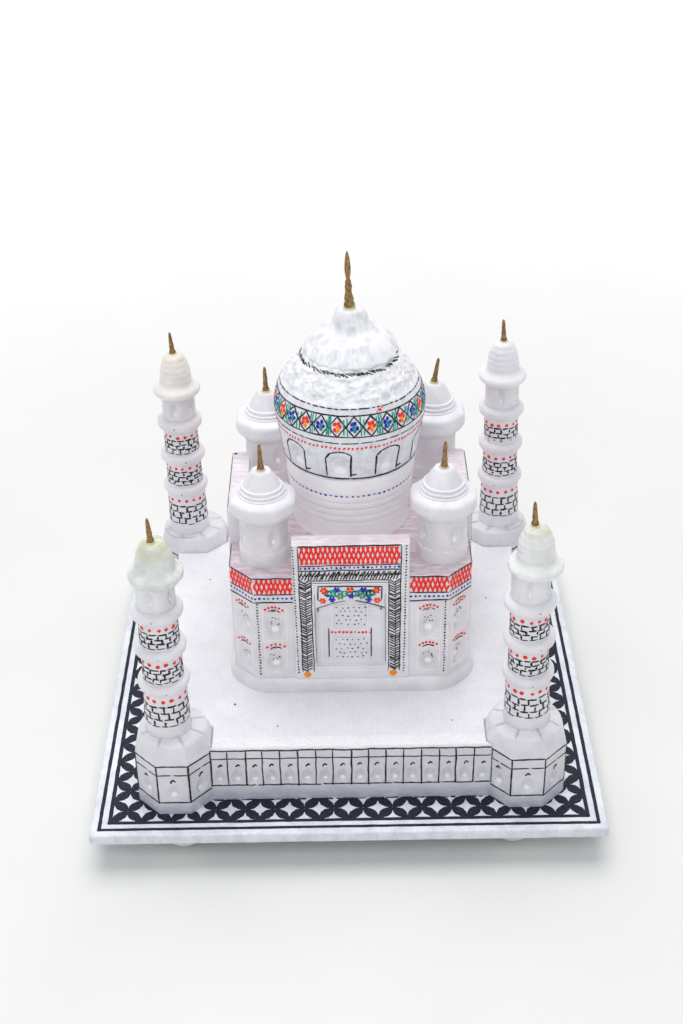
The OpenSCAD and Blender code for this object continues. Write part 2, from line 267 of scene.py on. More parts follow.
def stone(
    name, pale, cloud, depth=0.30, rough=0.36, cloud_mm=9.0, grain=0.5, wash=None, facet_sparkle=0.0, painted_glow=0.0
):
    """Alabaster. pale and cloud are its two tones, and depth is how much light it takes in.

    wash is a thin brushed tint (colour, height where it begins, height where it is full, amount).
    The last two arguments are painted light: the first paints the sparkle and shade of cut crystal faces on the
    crown, and the second is a faint emission that keeps a shaded piece bright.
    """
    r = Recipe(name)
    clouds = r.mask(r.noise(cloud_mm, 4, 0.6), 0.36, 0.66)
    colour = r.blend(clouds, pale, cloud)
    grains = r.mask(r.cells(0.55, "Color"), 0.62, 0.95)
    colour = r.blend(r.times(grains, 0.30 * grain), colour, (0.97, 0.97, 1.0))
    flecks = r.mask(r.noise(0.7, 2, 0.7, shift=0.3), 0.60, 0.74)
    colour = r.blend(r.times(flecks, 0.26 * grain), colour, tuple(0.66 * c for c in cloud))
    if facet_sparkle:
        # Painted sparkle and shade of cut crystal faces: cell edges are lightened towards white and some whole
        # cells darkened, from a height upwards.
        edges = r.mask(r.cells(3.4, "Distance", shift=0.4), 0.30, 0.62)
        upper = r.mask(r.level(), (SPARKLE_BEGIN + TOP) * MM, (SPARKLE_FULL + TOP) * MM)
        colour = r.blend(r.times(r.times(edges, upper), facet_sparkle), colour, (1.0, 1.0, 1.0))
        shaded_cells = r.mask(r.cells(2.8, "Color", shift=0.8), 0.45, 0.75)
        colour = r.blend(r.times(r.times(shaded_cells, upper), 0.5 * facet_sparkle), colour, (0.62, 0.62, 0.68))
    if wash:
        tint, low, high, amount = wash
        streaks = r.mask(r.noise(1.3, 4, 0.7, stretch=(0.3, 1.0, 1.6)), 0.28, 0.66)
        zone = r.mask(r.level(), (low + TOP) * MM, (high + TOP) * MM)
        patches = r.mask(r.noise(14, 2, 0.5, shift=0.7), 0.05, 0.36)
        amount = r.times(r.times(r.times(streaks, zone), patches), amount)
        colour = r.blend(amount, colour, tint)
    scratches = r.bump(r.noise(0.8, 4, 0.7), 0.06)
    lumps = r.bump(r.noise(3.2, 2, 0.5), 0.14, scratches)
    gloss = r.node("ShaderNodeMapRange", {"Value": r.noise(2.4, 3, 0.6, shift=0.5)})
    gloss.inputs["To Min"].default_value = rough - 0.10
    gloss.inputs["To Max"].default_value = rough + 0.14
    # The emission is painted light, a faint glow of the stone's own.
    return r.finish(
        Base_Color=colour,
        Roughness=gloss.outputs["Result"],
        Normal=lumps,
        Subsurface_Weight=depth,
        Subsurface_Radius=SCATTER,
        Subsurface_Scale=1.3 * MM,
        Emission_Color=(1.0, 0.95, 0.97),
        Emission_Strength=painted_glow,
        IOR=1.52,
    )


print(
    "red light goes", round(1.3 * SCATTER[0], 2), "mm into the stone, and blue", round(1.3 * SCATTER[2], 2),
    "mm"
)

# %% The stones of this model
LILAC = (0.60, 0.43, 0.50)
INK_BLUE = (0.46, 0.52, 0.64)
WHITE_STONE = stone("white_alabaster", (0.86, 0.85, 0.885), (0.79, 0.775, 0.81))
# The terrace's stone is darker than the other white stones and than its deck: painted shade, so that its walls
# and towers look as grey as faces turned away from the light. The blue wash near the plate is bled ink.
TERRACE_SHADED_STONE = stone(
    "terrace_alabaster_shaded", (0.80, 0.79, 0.83), (0.725, 0.71, 0.75), wash=(INK_BLUE, 5.4, 0.8, 0.75)
)
WALL_STONE = stone(
    "wall_alabaster", (0.85, 0.83, 0.855), (0.77, 0.74, 0.76), wash=(LILAC, 58.0, 60.9, 1.0)
)
# The dome's stone has painted sparkle and painted shade of cut crystal faces over its crown.
DOME_STONE = stone(
    "dome_alabaster", (0.88, 0.885, 0.93), (0.73, 0.735, 0.79), cloud_mm=2.6, grain=1.2, depth=0.14, facet_sparkle=0.75
)
# The drum's stone is paler than the others and gives off a faint light: painted light, so that the drum stays
# bright in the shade under the dome.
DRUM_STONE = stone("drum_alabaster_painted_light", (0.96, 0.95, 0.96), (0.90, 0.88, 0.89), depth=0.25, painted_glow=0.07)
KIOSK_STONE = stone("kiosk_alabaster", (0.85, 0.83, 0.85), (0.77, 0.74, 0.76), depth=0.2)
MILKY_STONE = stone("milky_alabaster", (0.84, 0.84, 0.86), (0.76, 0.76, 0.78), depth=0.45, rough=0.3)
FOOT_STONE = stone("foot_alabaster", (0.80, 0.81, 0.76), (0.72, 0.73, 0.68), depth=0.5, rough=0.3)
PLATE_STONE = stone(
    "plate_stone", (0.81, 0.84, 0.89), (0.67, 0.70, 0.76), depth=0.12, rough=0.42, cloud_mm=5.0, grain=1.0
)
print("stones:", len(bpy.data.materials))

# %% [markdown]
# ## Small tools for shapes
# Nearly every stone piece is a stack of rings: a wall is a stack of outlines, and a turned piece is a stack
# of circles. Scoops, facets and wobble are worked into the rings themselves, so they are real shape that
# catches the light, as the carver's cuts are.

# %% Make a piece from points and faces


def add_piece(name, points, faces, body, material, stands_for=(), crease=38):
    """A mesh in millimetres becomes a named piece that rides on a body."""
    mesh = bpy.data.meshes.new(name)
    mesh.from_pydata((np.asarray(points, float) * MM).tolist(), [], faces)
    mesh.update()
    mesh.shade_smooth()
    mesh.set_sharp_from_angle(angle=math.radians(crease))
    for face in mesh.polygons:
        face.use_smooth = face.loop_total <= 16
    mesh.materials.append(material)
    piece = bpy.data.objects.new(name, mesh)
    bpy.context.scene.collection.objects.link(piece)
    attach(piece, body)
    if stands_for:
        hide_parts(*stands_for)
    return piece


print("pieces are drawn in mm and stored in m, times", MM)

# %% A closed stack of rings


def stack(rings):
    """Points and faces of a closed stack of rings, each with the same number of points."""
    rings = np.asarray(rings, float)
    rows, count = rings.shape[:2]
    faces = []
    for i in range(rows - 1):
        for j in range(count):
            k = (j + 1) % count
            faces.append((i * count + j, i * count + k, (i + 1) * count + k, (i + 1) * count + j))
    faces.append(tuple(range(count - 1, -1, -1)))
    faces.append(tuple((rows - 1) * count + j for j in range(count)))
    return rings.reshape(-1, 3), faces


print("a stack of two triangles has", len(stack(np.zeros((2, 3, 3)))[1]), "faces")

# %% Smooth wobble, the same on every run


def wobble(seed, waves=6, low=1, high=7):
    """A smooth periodic function of an angle in radians, about -1 to 1."""
    dice = random.Random(seed)
    parts = [
        (dice.randint(low, high), dice.uniform(0, 2 * math.pi), dice.uniform(0.4, 1)) for _ in range(waves)
    ]
    total = sum(part[2] for part in parts)
    return lambda a: sum(w * np.sin(n * a + p) for n, p, w in parts) / total * 1.6


print("wobble at four angles:", wobble(1)(np.arange(4.0)).round(2))

# %% [markdown]
# A surface is a rule that turns two numbers into a point: how far along and how high. The same rule builds
# the mesh and guides the brush, so paint always lies on the stone, even inside a scoop.

# %% Flat walls round an outline


def turned_by(point, angle):
    c, s = math.cos(angle), math.sin(angle)
    return np.array([c * point[0] - s * point[1], s * point[0] + c * point[1]])


class Walls:
    """Upright walls over a closed outline, anticlockwise from above, with scoops cut into them."""

    def __init__(self, outline):
        self.corners = np.array(outline, float)
        after = np.roll(self.corners, -1, axis=0)
        self.runs = np.linalg.norm(after - self.corners, axis=1)
        self.along = (after - self.corners) / self.runs[:, None]
        self.out = np.stack([self.along[:, 1], -self.along[:, 0]], 1)
        self.starts = np.concatenate([[0], np.cumsum(self.runs)])
        self.length = self.starts[-1]
        self.scoops = []
        self.mitre()

    def mitre(self):
        """The outward step at each corner that keeps both walls parallel to themselves."""
        before = np.roll(self.out, 1, axis=0)
        self.corner_out = (before + self.out) / (1 + (before * self.out).sum(1))[:, None]

    def plain(self, test):
        """Walls for which test(middle) is true stay where they are when the others step in or out."""
        middles = self.corners + self.along * self.runs[:, None] / 2
        self.out[[test(m) for m in middles]] = 0
        self.mitre()

    def find(self, x, y):
        """How far along the outline the nearest point to x, y is."""
        gap = np.array([x, y]) - self.corners
        t = np.clip((gap * self.along).sum(1), 0, self.runs)
        near = np.linalg.norm(gap - t[:, None] * self.along, axis=1)
        k = int(np.argmin(near))
        return self.starts[k] + t[k]

    def scoop(self, s, z, half_width, half_height, depth):
        self.scoops.append((s, z, half_width, half_height, depth))

    def sunk(self, s, z):
        """How deep the scoops go at s, z."""
        total = np.zeros(np.broadcast(s, z).shape)
        for s0, z0, w, h, depth in self.scoops:
            reach = 1 - ((s - s0) / w) ** 2 - ((z - z0) / h) ** 2
            slump = 1 - 0.75 * (z - z0) / h
            total = total + depth * np.clip(reach, 0, None) ** 0.65 * slump
        return total

    def place(self, s, z, lift=0.0):
        s = np.asarray(s, float) % self.length
        z = np.asarray(z, float)
        k = np.clip(np.searchsorted(self.starts, s, side="right") - 1, 0, len(self.runs) - 1)
        reach = (s - self.starts[k])[..., None]
        flat = self.corners[k] + reach * self.along[k]
        out = np.where(reach < 1e-6, self.corner_out[k], self.out[k])
        flat = flat + (lift - self.sunk(s, z))[..., None] * out
        return np.concatenate([flat, (z + 0 * s)[..., None]], -1)

    def marks(self, step):
        """Places along the outline, every corner among them."""
        places = []
        for start, run in zip(self.starts, self.runs):
            count = max(1, round(run / step))
            places += [start + run * i / count for i in range(count)]
        return np.array(places)


print("a square of 10 mm is", Walls([(0, 0), (10, 0), (10, 10), (0, 10)]).length, "mm round")

# %% Turned surfaces round a leaning axis


class Turned:
    """A turned surface: a radius for each height above foot, measured along the axis up.

    Each scoop is its angle, its height, its half width in degrees, its half height and its depth.
    """

    def __init__(self, foot, up, heights, radii, uneven=None, scoops=()):
        self.foot, self.up = np.array(foot, float), np.array(up, float)
        side = np.cross([0, 1, 0], self.up)
        self.side = side / np.linalg.norm(side)
        self.back = np.cross(self.up, self.side)
        self.heights, self.radii = np.array(heights, float), np.array(radii, float)
        self.uneven = uneven
        self.scoops = list(scoops)

    def radius(self, angle, h):
        """Radius at an angle in degrees from the front, positive to the right."""
        r = np.interp(h, self.heights, self.radii)
        if self.uneven:
            r = r + self.uneven(np.radians(angle), h)
        for a0, h0, w, tall, depth in self.scoops:
            gap = (np.asarray(angle) - a0 + 180) % 360 - 180
            reach = 1 - (gap / w) ** 2 - ((h - h0) / tall) ** 2
            r = r - depth * np.clip(reach, 0, None) ** 0.6
        return r

    def place(self, angle, h, lift=0.0):
        a = np.radians(np.asarray(angle, float))[..., None]
        h = np.asarray(h, float)
        r = (self.radius(angle, h) + lift)[..., None]
        return self.foot + r * (np.sin(a) * self.side - np.cos(a) * self.back) + h[..., None] * self.up

    def rings(self, heights, count):
        angles = np.arange(count) * 360 / count
        return [self.place(angles, np.full(count, h)) for h in heights]


rod = Turned((0, 0, 0), (0, 0, 1), [0, 1], [5, 5])
print("the front of a rod of 5 mm radius is at", rod.place([0], [0])[0].round(2))

# %% Plain flat surfaces


class Panel:
    """A flat face: a corner point, a direction along, and +Z or another direction up."""

    def __init__(self, start, along, up=(0, 0, 1)):
        self.start, self.along, self.up = (np.array(v, float) for v in (start, along, up))
        self.out = np.cross(self.along, self.up)

    def place(self, s, t, lift=0.0):
        s, t = np.asarray(s, float)[..., None], np.asarray(t, float)[..., None]
        return self.start + s * self.along + t * self.up + np.asarray(lift)[..., None] * self.out


print("a panel along X faces", Panel((0, 0, 0), (1, 0, 0)).out)

# %% Smooth outlines from a few points


def fair(points, steps=6):
    """A smooth curve through (height, radius) points; a point named twice keeps its corner."""
    points = [np.array(p, float) for p in points]
    curve = [points[0]]
    for i in range(len(points) - 1):
        a, b = points[i], points[i + 1]
        if np.allclose(a, b):
            continue
        before = points[i - 1] if i and not np.allclose(points[i - 1], a) else 2 * a - b
        after = points[i + 2] if i + 2 < len(points) and not np.allclose(points[i + 2], b) else 2 * b - a
        if i and np.allclose(points[i - 1], a):
            before = a
        if i + 2 < len(points) and np.allclose(points[i + 2], b):
            after = b
        for k in range(1, steps + 1):
            t = k / steps
            curve.append(
                0.5
                * (
                    2 * a
                    + (b - before) * t
                    + (2 * before - 5 * a + 4 * b - after) * t**2
                    + (3 * a - before - 3 * b + after) * t**3
                )
            )
    return np.array(curve)


print("three points make a curve of", len(fair([(0, 1), (1, 2), (2, 1)])), "points")

# %% [markdown]
# ## The brush
# The decoration is drawn with a fine brush and a felt pen. Every stroke wanders a little, swells and thins,
# and ends in a blob where the pen stood still. A stroke here is a thin closed ribbon that follows a surface,
# a few hundredths of a millimetre thick, and a dot is a low round drop. They are meshes, so that the drawing
# stays sharp from near and from far.

# %% Inks
PAINTS = {}


def paint(name, colour, rough=0.45, vary=0.35, mottle_mm=0.8, painted_glow=0.0):
    """A thin opaque paint that is denser in some places than in others."""
    r = Recipe(name)
    thin = r.mask(r.noise(mottle_mm, 3, 0.6), 0.40, 0.75)
    pale = tuple(c + vary * (0.75 - c) * 0.22 for c in colour)
    shade = r.blend(thin, colour, pale)
    r.finish(Base_Color=shade, Specular_IOR_Level=0.25, Roughness=rough, Normal=r.bump(r.noise(0.5), 0.02))
    PAINTS[name] = r.finish(Emission_Color=(1.0, 1.0, 1.0), Emission_Strength=painted_glow)
    return PAINTS[name]


paint("black_ink", (0.006, 0.006, 0.008))
paint("red_paint", (0.93, 0.022, 0.014), vary=0.2)
paint("blue_paint", (0.018, 0.012, 0.46), vary=0.3)
paint("teal_paint", (0.005, 0.32, 0.255), vary=0.4)
paint("orange_paint", (1.0, 0.30, 0.008), vary=0.15)
paint("print_ink", (0.005, 0.008, 0.024), rough=0.6, vary=0.24, mottle_mm=0.5)
paint("faint_ink", (0.06, 0.055, 0.07), vary=0.6)
# White paint for scratched lines of crushed stone, and for painted highlights in scoops and on the dome's cuts.
# It also gives off a faint light of its own, painted light that makes it look brighter than the wall round it.
paint("white_dust_and_highlights", (0.94, 0.94, 0.96), rough=0.7, vary=0.6, painted_glow=0.05)
print("paints:", sorted(PAINTS))

# %% A brush that gathers strokes of one paint
SUNK = 0.06
PROUD = 0.045


class Brush:
    """Gathers the strokes of one paint on one body, then lays them down as one piece."""

    def __init__(self, name, ink, body="monument", slot="painted_stone", seed=1):
        self.name, self.ink, self.body, self.slot = name, ink, body, slot
        self.dice = random.Random(seed)
        self.points, self.faces, self.count = [], [], 0

    def out_of(self, surface, s, t):
        """The outward direction of a surface, from three near points."""
        e = 0.02
        here = surface.place(s, t)
        along = surface.place(s + e, t) - here
        up = surface.place(s, t + e) - here
        out = np.cross(along, up)
        return out / np.linalg.norm(out, axis=-1)[..., None]

    def keep(self, rows, faces):
        start = sum(len(p) for p in self.points)
        self.points.append(rows)
        self.faces += [tuple(start + i for i in face) for face in faces]
        self.count += 1

    def stroke(self, surface, path, width, shake=0.12, step=0.7, swell=0.25):
        """A wandering line through path, a list of (along, up) places."""
        path = np.array(path, float)
        knots = surface.place(path[:, 0], path[:, 1])
        runs = np.linalg.norm(np.diff(knots, axis=0), axis=1)
        reach = np.concatenate([[0], np.cumsum(runs)])
        if reach[-1] < 1e-6:
            return
        n = max(3, int(reach[-1] / step) + 2)
        at = np.linspace(0, reach[-1], n)
        s, t = np.interp(at, reach, path[:, 0]), np.interp(at, reach, path[:, 1])
        centre, out = surface.place(s, t), self.out_of(surface, s, t)
        way = np.gradient(centre, axis=0)
        way = way / np.linalg.norm(way, axis=1)[:, None]
        side = np.cross(way, out)
        noise = np.array([self.dice.uniform(-1, 1) for _ in range(n + 4)])
        drift = np.convolve(noise, [0.2, 0.2, 0.2, 0.2, 0.2], "valid")[:n] * shake * 2
        noise = np.array([self.dice.uniform(-1, 1) for _ in range(n + 2)])
        half = width / 2 * (1 + swell * np.convolve(noise, [0.3, 0.4, 0.3], "valid")[:n])
        half[0], half[-1] = half[0] * 0.55, half[-1] * 0.55
        centre = centre + drift[:, None] * side
        low, high = -SUNK * out, (PROUD + self.dice.uniform(0, 0.03)) * out
        across = half[:, None] * side
        rows = np.stack(
            [
                centre - across + low, centre - 0.88 * across + high, centre + 0.88 * across + high,
                centre + across + low
            ],
            1,
        ).reshape(-1, 3)
        faces = []
        for i in range(n - 1):
            a, b = 4 * i, 4 * i + 4
            faces += [(a + k, a + (k + 1) % 4, b + (k + 1) % 4, b + k) for k in range(4)]
        faces += [(3, 2, 1, 0), (4 * n - 4, 4 * n - 3, 4 * n - 2, 4 * n - 1)]
        self.keep(rows, faces)

    def dot(self, surface, s, t, size, long=1.0, lean=0.0, sides=9):
        """A drop of paint size across, drawn out to long times that, turned by lean in degrees."""
        s, t = np.array([float(s)]), np.array([float(t)])
        centre, out = surface.place(s, t)[0], self.out_of(surface, s, t)[0]
        along = surface.place(s + 0.05, t)[0] - centre
        along = along / np.linalg.norm(along)
        up = np.cross(out, along)
        turn = math.radians(lean)
        a = np.arange(sides) * 2 * math.pi / sides
        r = size / 2 * np.array([self.dice.uniform(0.86, 1.14) for _ in range(sides)])
        x, y = r * np.cos(a), r * np.sin(a) * long
        x, y = x * math.cos(turn) - y * math.sin(turn), x * math.sin(turn) + y * math.cos(turn)
        flat = x[:, None] * along + y[:, None] * up
        rows = np.concatenate([centre + flat - SUNK * out, centre + 0.85 * flat + (PROUD + 0.035) * out])
        faces = [(i, (i + 1) % sides, sides + (i + 1) % sides, sides + i) for i in range(sides)]
        faces += [tuple(range(sides - 1, -1, -1)), tuple(range(sides, 2 * sides))]
        self.keep(rows, faces)

    def shape(self, surface, outline):
        """A filled shape, given as an anticlockwise list of (along, up) places."""
        outline = np.array(outline, float)
        n = len(outline)
        rows = surface.place(outline[:, 0], outline[:, 1])
        out = self.out_of(surface, outline[:, 0], outline[:, 1])
        rows = np.concatenate([rows - SUNK * out, rows + PROUD * out])
        faces = [(i, (i + 1) % n, n + (i + 1) % n, n + i) for i in range(n)]
        faces += [tuple(range(n - 1, -1, -1)), tuple(range(n, 2 * n))]
        self.keep(rows, faces)

    def highlight_oval(self, surface, s, t, half_wide, half_tall):
        """An uneven white oval: a painted highlight at the bottom of a scoop, where its floor would catch the
        light.
        """
        outline = []
        size = self.dice.uniform(0.7, 1.0)
        for a in np.arange(14) * math.pi / 7:
            reach = size * self.dice.uniform(0.86, 1.12)
            outline.append((s + reach * half_wide * math.cos(a), t + reach * half_tall * math.sin(a)))
        self.shape(surface, outline)

    def lay(self):
        """Makes the piece."""
        points = np.concatenate(self.points)
        piece = add_piece(self.name, points, self.faces, self.body, PAINTS[self.ink], crease=50)
        print(self.name, self.count, "strokes", len(self.faces), "faces")
        return piece


print("brush ready")

# %% [markdown]
# ## The table
# The model stands on a pale table that is lit through from below far away, so it fades to white. The table is
# only a stage: it is not part of the souvenir.

# %% Table
r = Recipe("pale_table")
far = r.node("ShaderNodeVectorMath", {0: r.place}, operation="LENGTH").outputs["Value"]
r.finish(
    Base_Color=r.blend(r.mask(r.noise(60, 2), 0.3, 0.7), (0.80, 0.80, 0.785), (0.785, 0.785, 0.77)),
    Roughness=0.6,
    Emission_Color=(1.0, 1.0, 1.0, 1.0),
    Emission_Strength=r.times(r.mask(far, 0.16, 0.80), 0.42),
)
edge = [(3.2 * math.cos(a), 3.2 * math.sin(a), 0) for a in np.arange(64) * math.pi / 32]
mesh = bpy.data.meshes.new("table")
mesh.from_pydata(edge, [], [tuple(range(64))])
mesh.materials.append(r.material)
table = bpy.data.objects.new("table", mesh)
bpy.context.scene.collection.objects.link(table)
print("table", len(edge), "corners")

# %% [markdown]
# ## The printed plate
# The plate is a sawn tile of blue-grey stone with its edges rubbed down, on four little turned feet. A
# border of overlapping circles is printed on it. Where two circles overlap, there is a dark petal, and four
# petals leave a pale star. The print is a few hundredths of a millimetre thick and has tiny gaps, so the
# petals and the two border lines are laid down as thin shapes in a speckled ink.

# %% The tile itself


def box_outline(low, high, soft=0.0):
    """Anticlockwise corners of a box seen from above, with its corners cut by soft."""
    (x0, y0), (x1, y1) = low[:2], high[:2]
    if not soft:
        return [(x0, y0), (x1, y0), (x1, y1), (x0, y1)]
    c = soft
    return [
        (x0 + c, y0), (x1 - c, y0), (x1, y0 + c), (x1, y1 - c),
        (x1 - c, y1), (x0 + c, y1), (x0, y1 - c), (x0, y0 + c),
    ]


def nibbled(seed, size):
    """Small uneven wear along an edge."""
    a, b = wobble(seed, 9, 3, 40), wobble(seed + 1, 9, 40, 160)
    return lambda s, total: size * (0.6 * a(2 * math.pi * s / total) + 0.4 * b(2 * math.pi * s / total))


def slab(walls, profile, step, wear=0.0, seed=5, ease=None):
    """Rings over an outline. profile lists (height, how far in, share of the wear); ease scales both."""
    places = walls.marks(step)
    share = ease(places) if ease else 1.0
    uneven = nibbled(seed, wear)
    rings = []
    for z, inset, amount in profile:
        lift = share * (-inset + amount * uneven(places, walls.length))
        rings.append(walls.place(places, np.full(len(places), z), lift))
    return rings


low, high = span("base_plate")
tile = Walls(box_outline(low, high, 0.35))
tile_side = [
    (low[2], 0.35, 1), (low[2] + 0.3, 0.08, 0.6), (low[2] + 0.6, 0, 0.2), (high[2] - 0.6, 0, 0.2),
    (high[2] - 0.35, 0.07, 0.6), (high[2] - 0.12, 0.22, 1), (high[2], 0.5, 1),
]
points, faces = stack(slab(tile, tile_side, 1.2, wear=0.10, seed=11))
add_piece("printed_tile", points, faces, "monument", PLATE_STONE, ["base_plate"])
print("tile", (high - low).round(1), "mm")

# %% Border lines
FIELD = 69.03
CIRCLES = 16
PERIOD = 2 * FIELD / CIRCLES
HALF = PERIOD / 2
plate_face = Panel((0, 0, TOP), (1, 0, 0), (0, 1, 0))
print_brush = Brush("printed_border", "print_ink", slot="printed_stone", seed=3)
INNER_LINE, OUTER_LINE = FIELD + 0.50, 72.3
for side, wide in ((INNER_LINE, 1.30), (OUTER_LINE, 1.15)):
    e = side + wide / 2
    for a, b in (
        ((-e, -side), (e, -side)), ((side, -e), (side, e)), ((e, side), (-e, side)), ((-side, e), (-side, -e)),
    ):
        print_brush.stroke(plate_face, [a, b], wide, shake=0.05, step=0.8, swell=0.12)
print("border lines", INNER_LINE, "and", OUTER_LINE, "mm from the middle")

# %% Petals
PETAL_WIDTH = 3.2
BAND = 3  # the last row of petals that is drawn, counted from 0 at the edge


def petal(a, b):
    """A lens between two lattice points, with slightly rough sides."""
    a, b = np.array(a), np.array(b)
    way = b - a
    side = np.array([-way[1], way[0]]) / np.linalg.norm(way)
    ends = np.linspace(0.015, 0.985, 9)
    left, right = [], []
    for t in ends:
        bulge = PETAL_WIDTH / 2 * (1 - (2 * t - 1) ** 2) ** 0.85
        bulge *= 1 + print_brush.dice.uniform(-0.10, 0.10)
        left.append(a + t * way + bulge * side)
        right.append(a + t * way - bulge * side)
    print_brush.shape(plate_face, right + left[::-1])


plinth_low, plinth_high = span("plinth")
for i in range(2 * CIRCLES):
    for j in range(2 * CIRCLES):
        depth = min(i, j, 2 * CIRCLES - 1 - i, 2 * CIRCLES - 1 - j)
        x0, y0 = -FIELD + HALF * i, -FIELD + HALF * j
        x, y = x0 + HALF / 2, y0 + HALF / 2
        hidden = plinth_low[0] + 3 < x < plinth_high[0] - 3 and plinth_low[1] + 3 < y < plinth_high[1] - 3
        if depth > BAND or hidden:
            continue
        if (i + j) % 2:
            petal((x0 + HALF, y0), (x0, y0 + HALF))
        else:
            petal((x0, y0), (x0 + HALF, y0 + HALF))
print("circles are", round(PERIOD, 2), "mm apart")

# %% A broken dark line where the print meets the foot of the wall: partly print, partly painted shade where the wall stands on the plate
GAP = 0.3
(left, front), (right, back) = plinth_low[:2], plinth_high[:2]
for a, b in (
    ((left, front - GAP), (right, front - GAP)), ((right + GAP, front), (right + GAP, back)),
    ((right, back + GAP), (left, back + GAP)), ((left - GAP, back), (left - GAP, front)),
):
    a, b = np.array(a), np.array(b)
    at, whole = 0.0, math.dist(a, b)
    while at < 1:
        end = min(1.0, at + print_brush.dice.uniform(1.0, 5.0) / whole)
        path = [a + (b - a) * at, a + (b - a) * end]
        print_brush.stroke(plate_face, path, print_brush.dice.uniform(0.35, 0.8), 0.12, 0.6, 0.5)
        at = end + print_brush.dice.uniform(0.0, 1.6) / whole
print_brush.lay()

# %% Feet
for corner in CORNERS:
    frame["nodes"]["foot_" + corner].data.materials.clear()
    frame["nodes"]["foot_" + corner].data.materials.append(FOOT_STONE)
print("feet keep their turned shape")

# %% [markdown]
# ## The walled terrace
# The terrace is one block with four eight-sided corner towers. Its walls are divided into bays by ruled ink
# lines, and each bay has a small scoop ground into it with a round cutter, deeper at its bottom, where a
# painted highlight lies.
# The deck is sawn stone with a fine cross-hatching like linen, and its rim is smooth. The block is a stack of
# outlines that is notched for the towers, so that the towers can be separate pieces, as they are on the real
# one.

# %% An outline that is notched for the towers
OCTAGON = [math.radians(22.5 + 45 * k) for k in range(8)]


def tower_outline(corner):
    """The tower's eight corners from above, anticlockwise, from its front-right corner on."""
    low, high = span("tower_" + corner)
    x, y = (low + high)[:2] / 2
    r = (high - low)[0] / 2 / math.cos(math.radians(22.5))
    return np.array([x, y]), [(x + r * math.cos(a), y + r * math.sin(a)) for a in OCTAGON]


def crossing(a, b, axis, value):
    """Where the line from a to b meets the line on which coordinate axis has that value, or None."""
    if (a[axis] - value) * (b[axis] - value) >= 0:
        return None
    t = (value - a[axis]) / (b[axis] - a[axis])
    return (a[0] + t * (b[0] - a[0]), a[1] + t * (b[1] - a[1]))


def notched(low, high):
    outline = []
    for corner, turn in (("front_left", 45), ("front_right", 135), ("back_right", 225), ("back_left", 315)):
        mid, eight = tower_outline(corner)
        cx = low[0] if "left" in corner else high[0]
        cy = low[1] if "front" in corner else high[1]
        sx, sy = np.sign([-cx, -cy])
        inside = lambda p: (p[0] - cx) * sx > -1e-6 and (p[1] - cy) * sy > -1e-6
        found = [p for p in eight if inside(p)]
        for a, b in zip(eight, eight[1:] + eight[:1]):
            for axis, value in ((0, cx), (1, cy)):
                p = crossing(a, b, axis, value)
                if p and inside(p):
                    found.append(p)
        bearing = lambda p: (math.degrees(math.atan2(p[1] - mid[1], p[0] - mid[0])) - turn + 180) % 360 - 180
        outline += sorted(found, key=bearing, reverse=True)
    return outline


def in_a_notch(point):
    """True where a point isn't on one of the four outer walls."""
    return min(*np.abs(point - plinth_low[:2]), *np.abs(point - plinth_high[:2])) > 0.01


terrace = Walls(notched(plinth_low, plinth_high))
terrace.plain(in_a_notch)
print("terrace outline has", len(terrace.corners), "corners")

# %% Bays along the terrace walls
LINE_HIGH, LINE_SECOND, LINE_LOW = 18.75, 15.7, 5.55
SCOOP_Z, SCOOP_W, SCOOP_H = 8.6, 1.55, 2.9
BAY = 5.05


def bays_of(a, b):
    """Positions of the bay edges between two outline positions, about a bay apart."""
    count = max(1, round((b - a) / BAY))
    return np.linspace(a, b, count + 1)


LONG_WALL = 40  # shorter runs of the outline are the notches for the towers
terrace_bays = []
for k in range(len(terrace.corners)):
    if terrace.runs[k] > LONG_WALL:
        edges = bays_of(terrace.starts[k], terrace.starts[k] + terrace.runs[k])
        terrace_bays.append(edges)
        for a, b in zip(edges, edges[1:]):
            terrace.scoop((a + b) / 2, TOP + SCOOP_Z, SCOOP_W, SCOOP_H, 0.95)
print("bays per side:", [len(edges) - 1 for edges in terrace_bays])

# %% The terrace block


def rows(*stops):
    """Heights from (start, end, step) triples."""
    return np.concatenate([np.arange(a, b, step) for a, b, step in stops])


heights = list(TOP + rows((0, 5.6, 1.4), (5.6, 11.8, 0.38), (11.8, 18.4, 1.6)))
deck_edge = [
    (DECK - 0.9, 0, 0.3), (DECK - 0.55, 0.06, 0.6), (DECK - 0.28, 0.22, 1), (DECK - 0.1, 0.5, 1),
    (DECK, 0.9, 0.6),
]
profile = [(z, 0, 0.15) for z in heights] + deck_edge


def near_tower(places):
    """0 where the wall meets a tower, 1 from a little way off."""
    share = np.zeros(len(places))
    for start, run in zip(terrace.starts, terrace.runs):
        if run > LONG_WALL:
            share = np.maximum(share, np.clip(np.minimum(places - start, start + run - places) / 2.0, 0, 1))
    return share


points, faces = stack(slab(terrace, profile, 0.34, wear=0.13, seed=21, ease=near_tower))
block = add_piece("terrace", points, faces, "monument", TERRACE_SHADED_STONE, ["plinth"], crease=50)
print("terrace", len(faces), "faces")

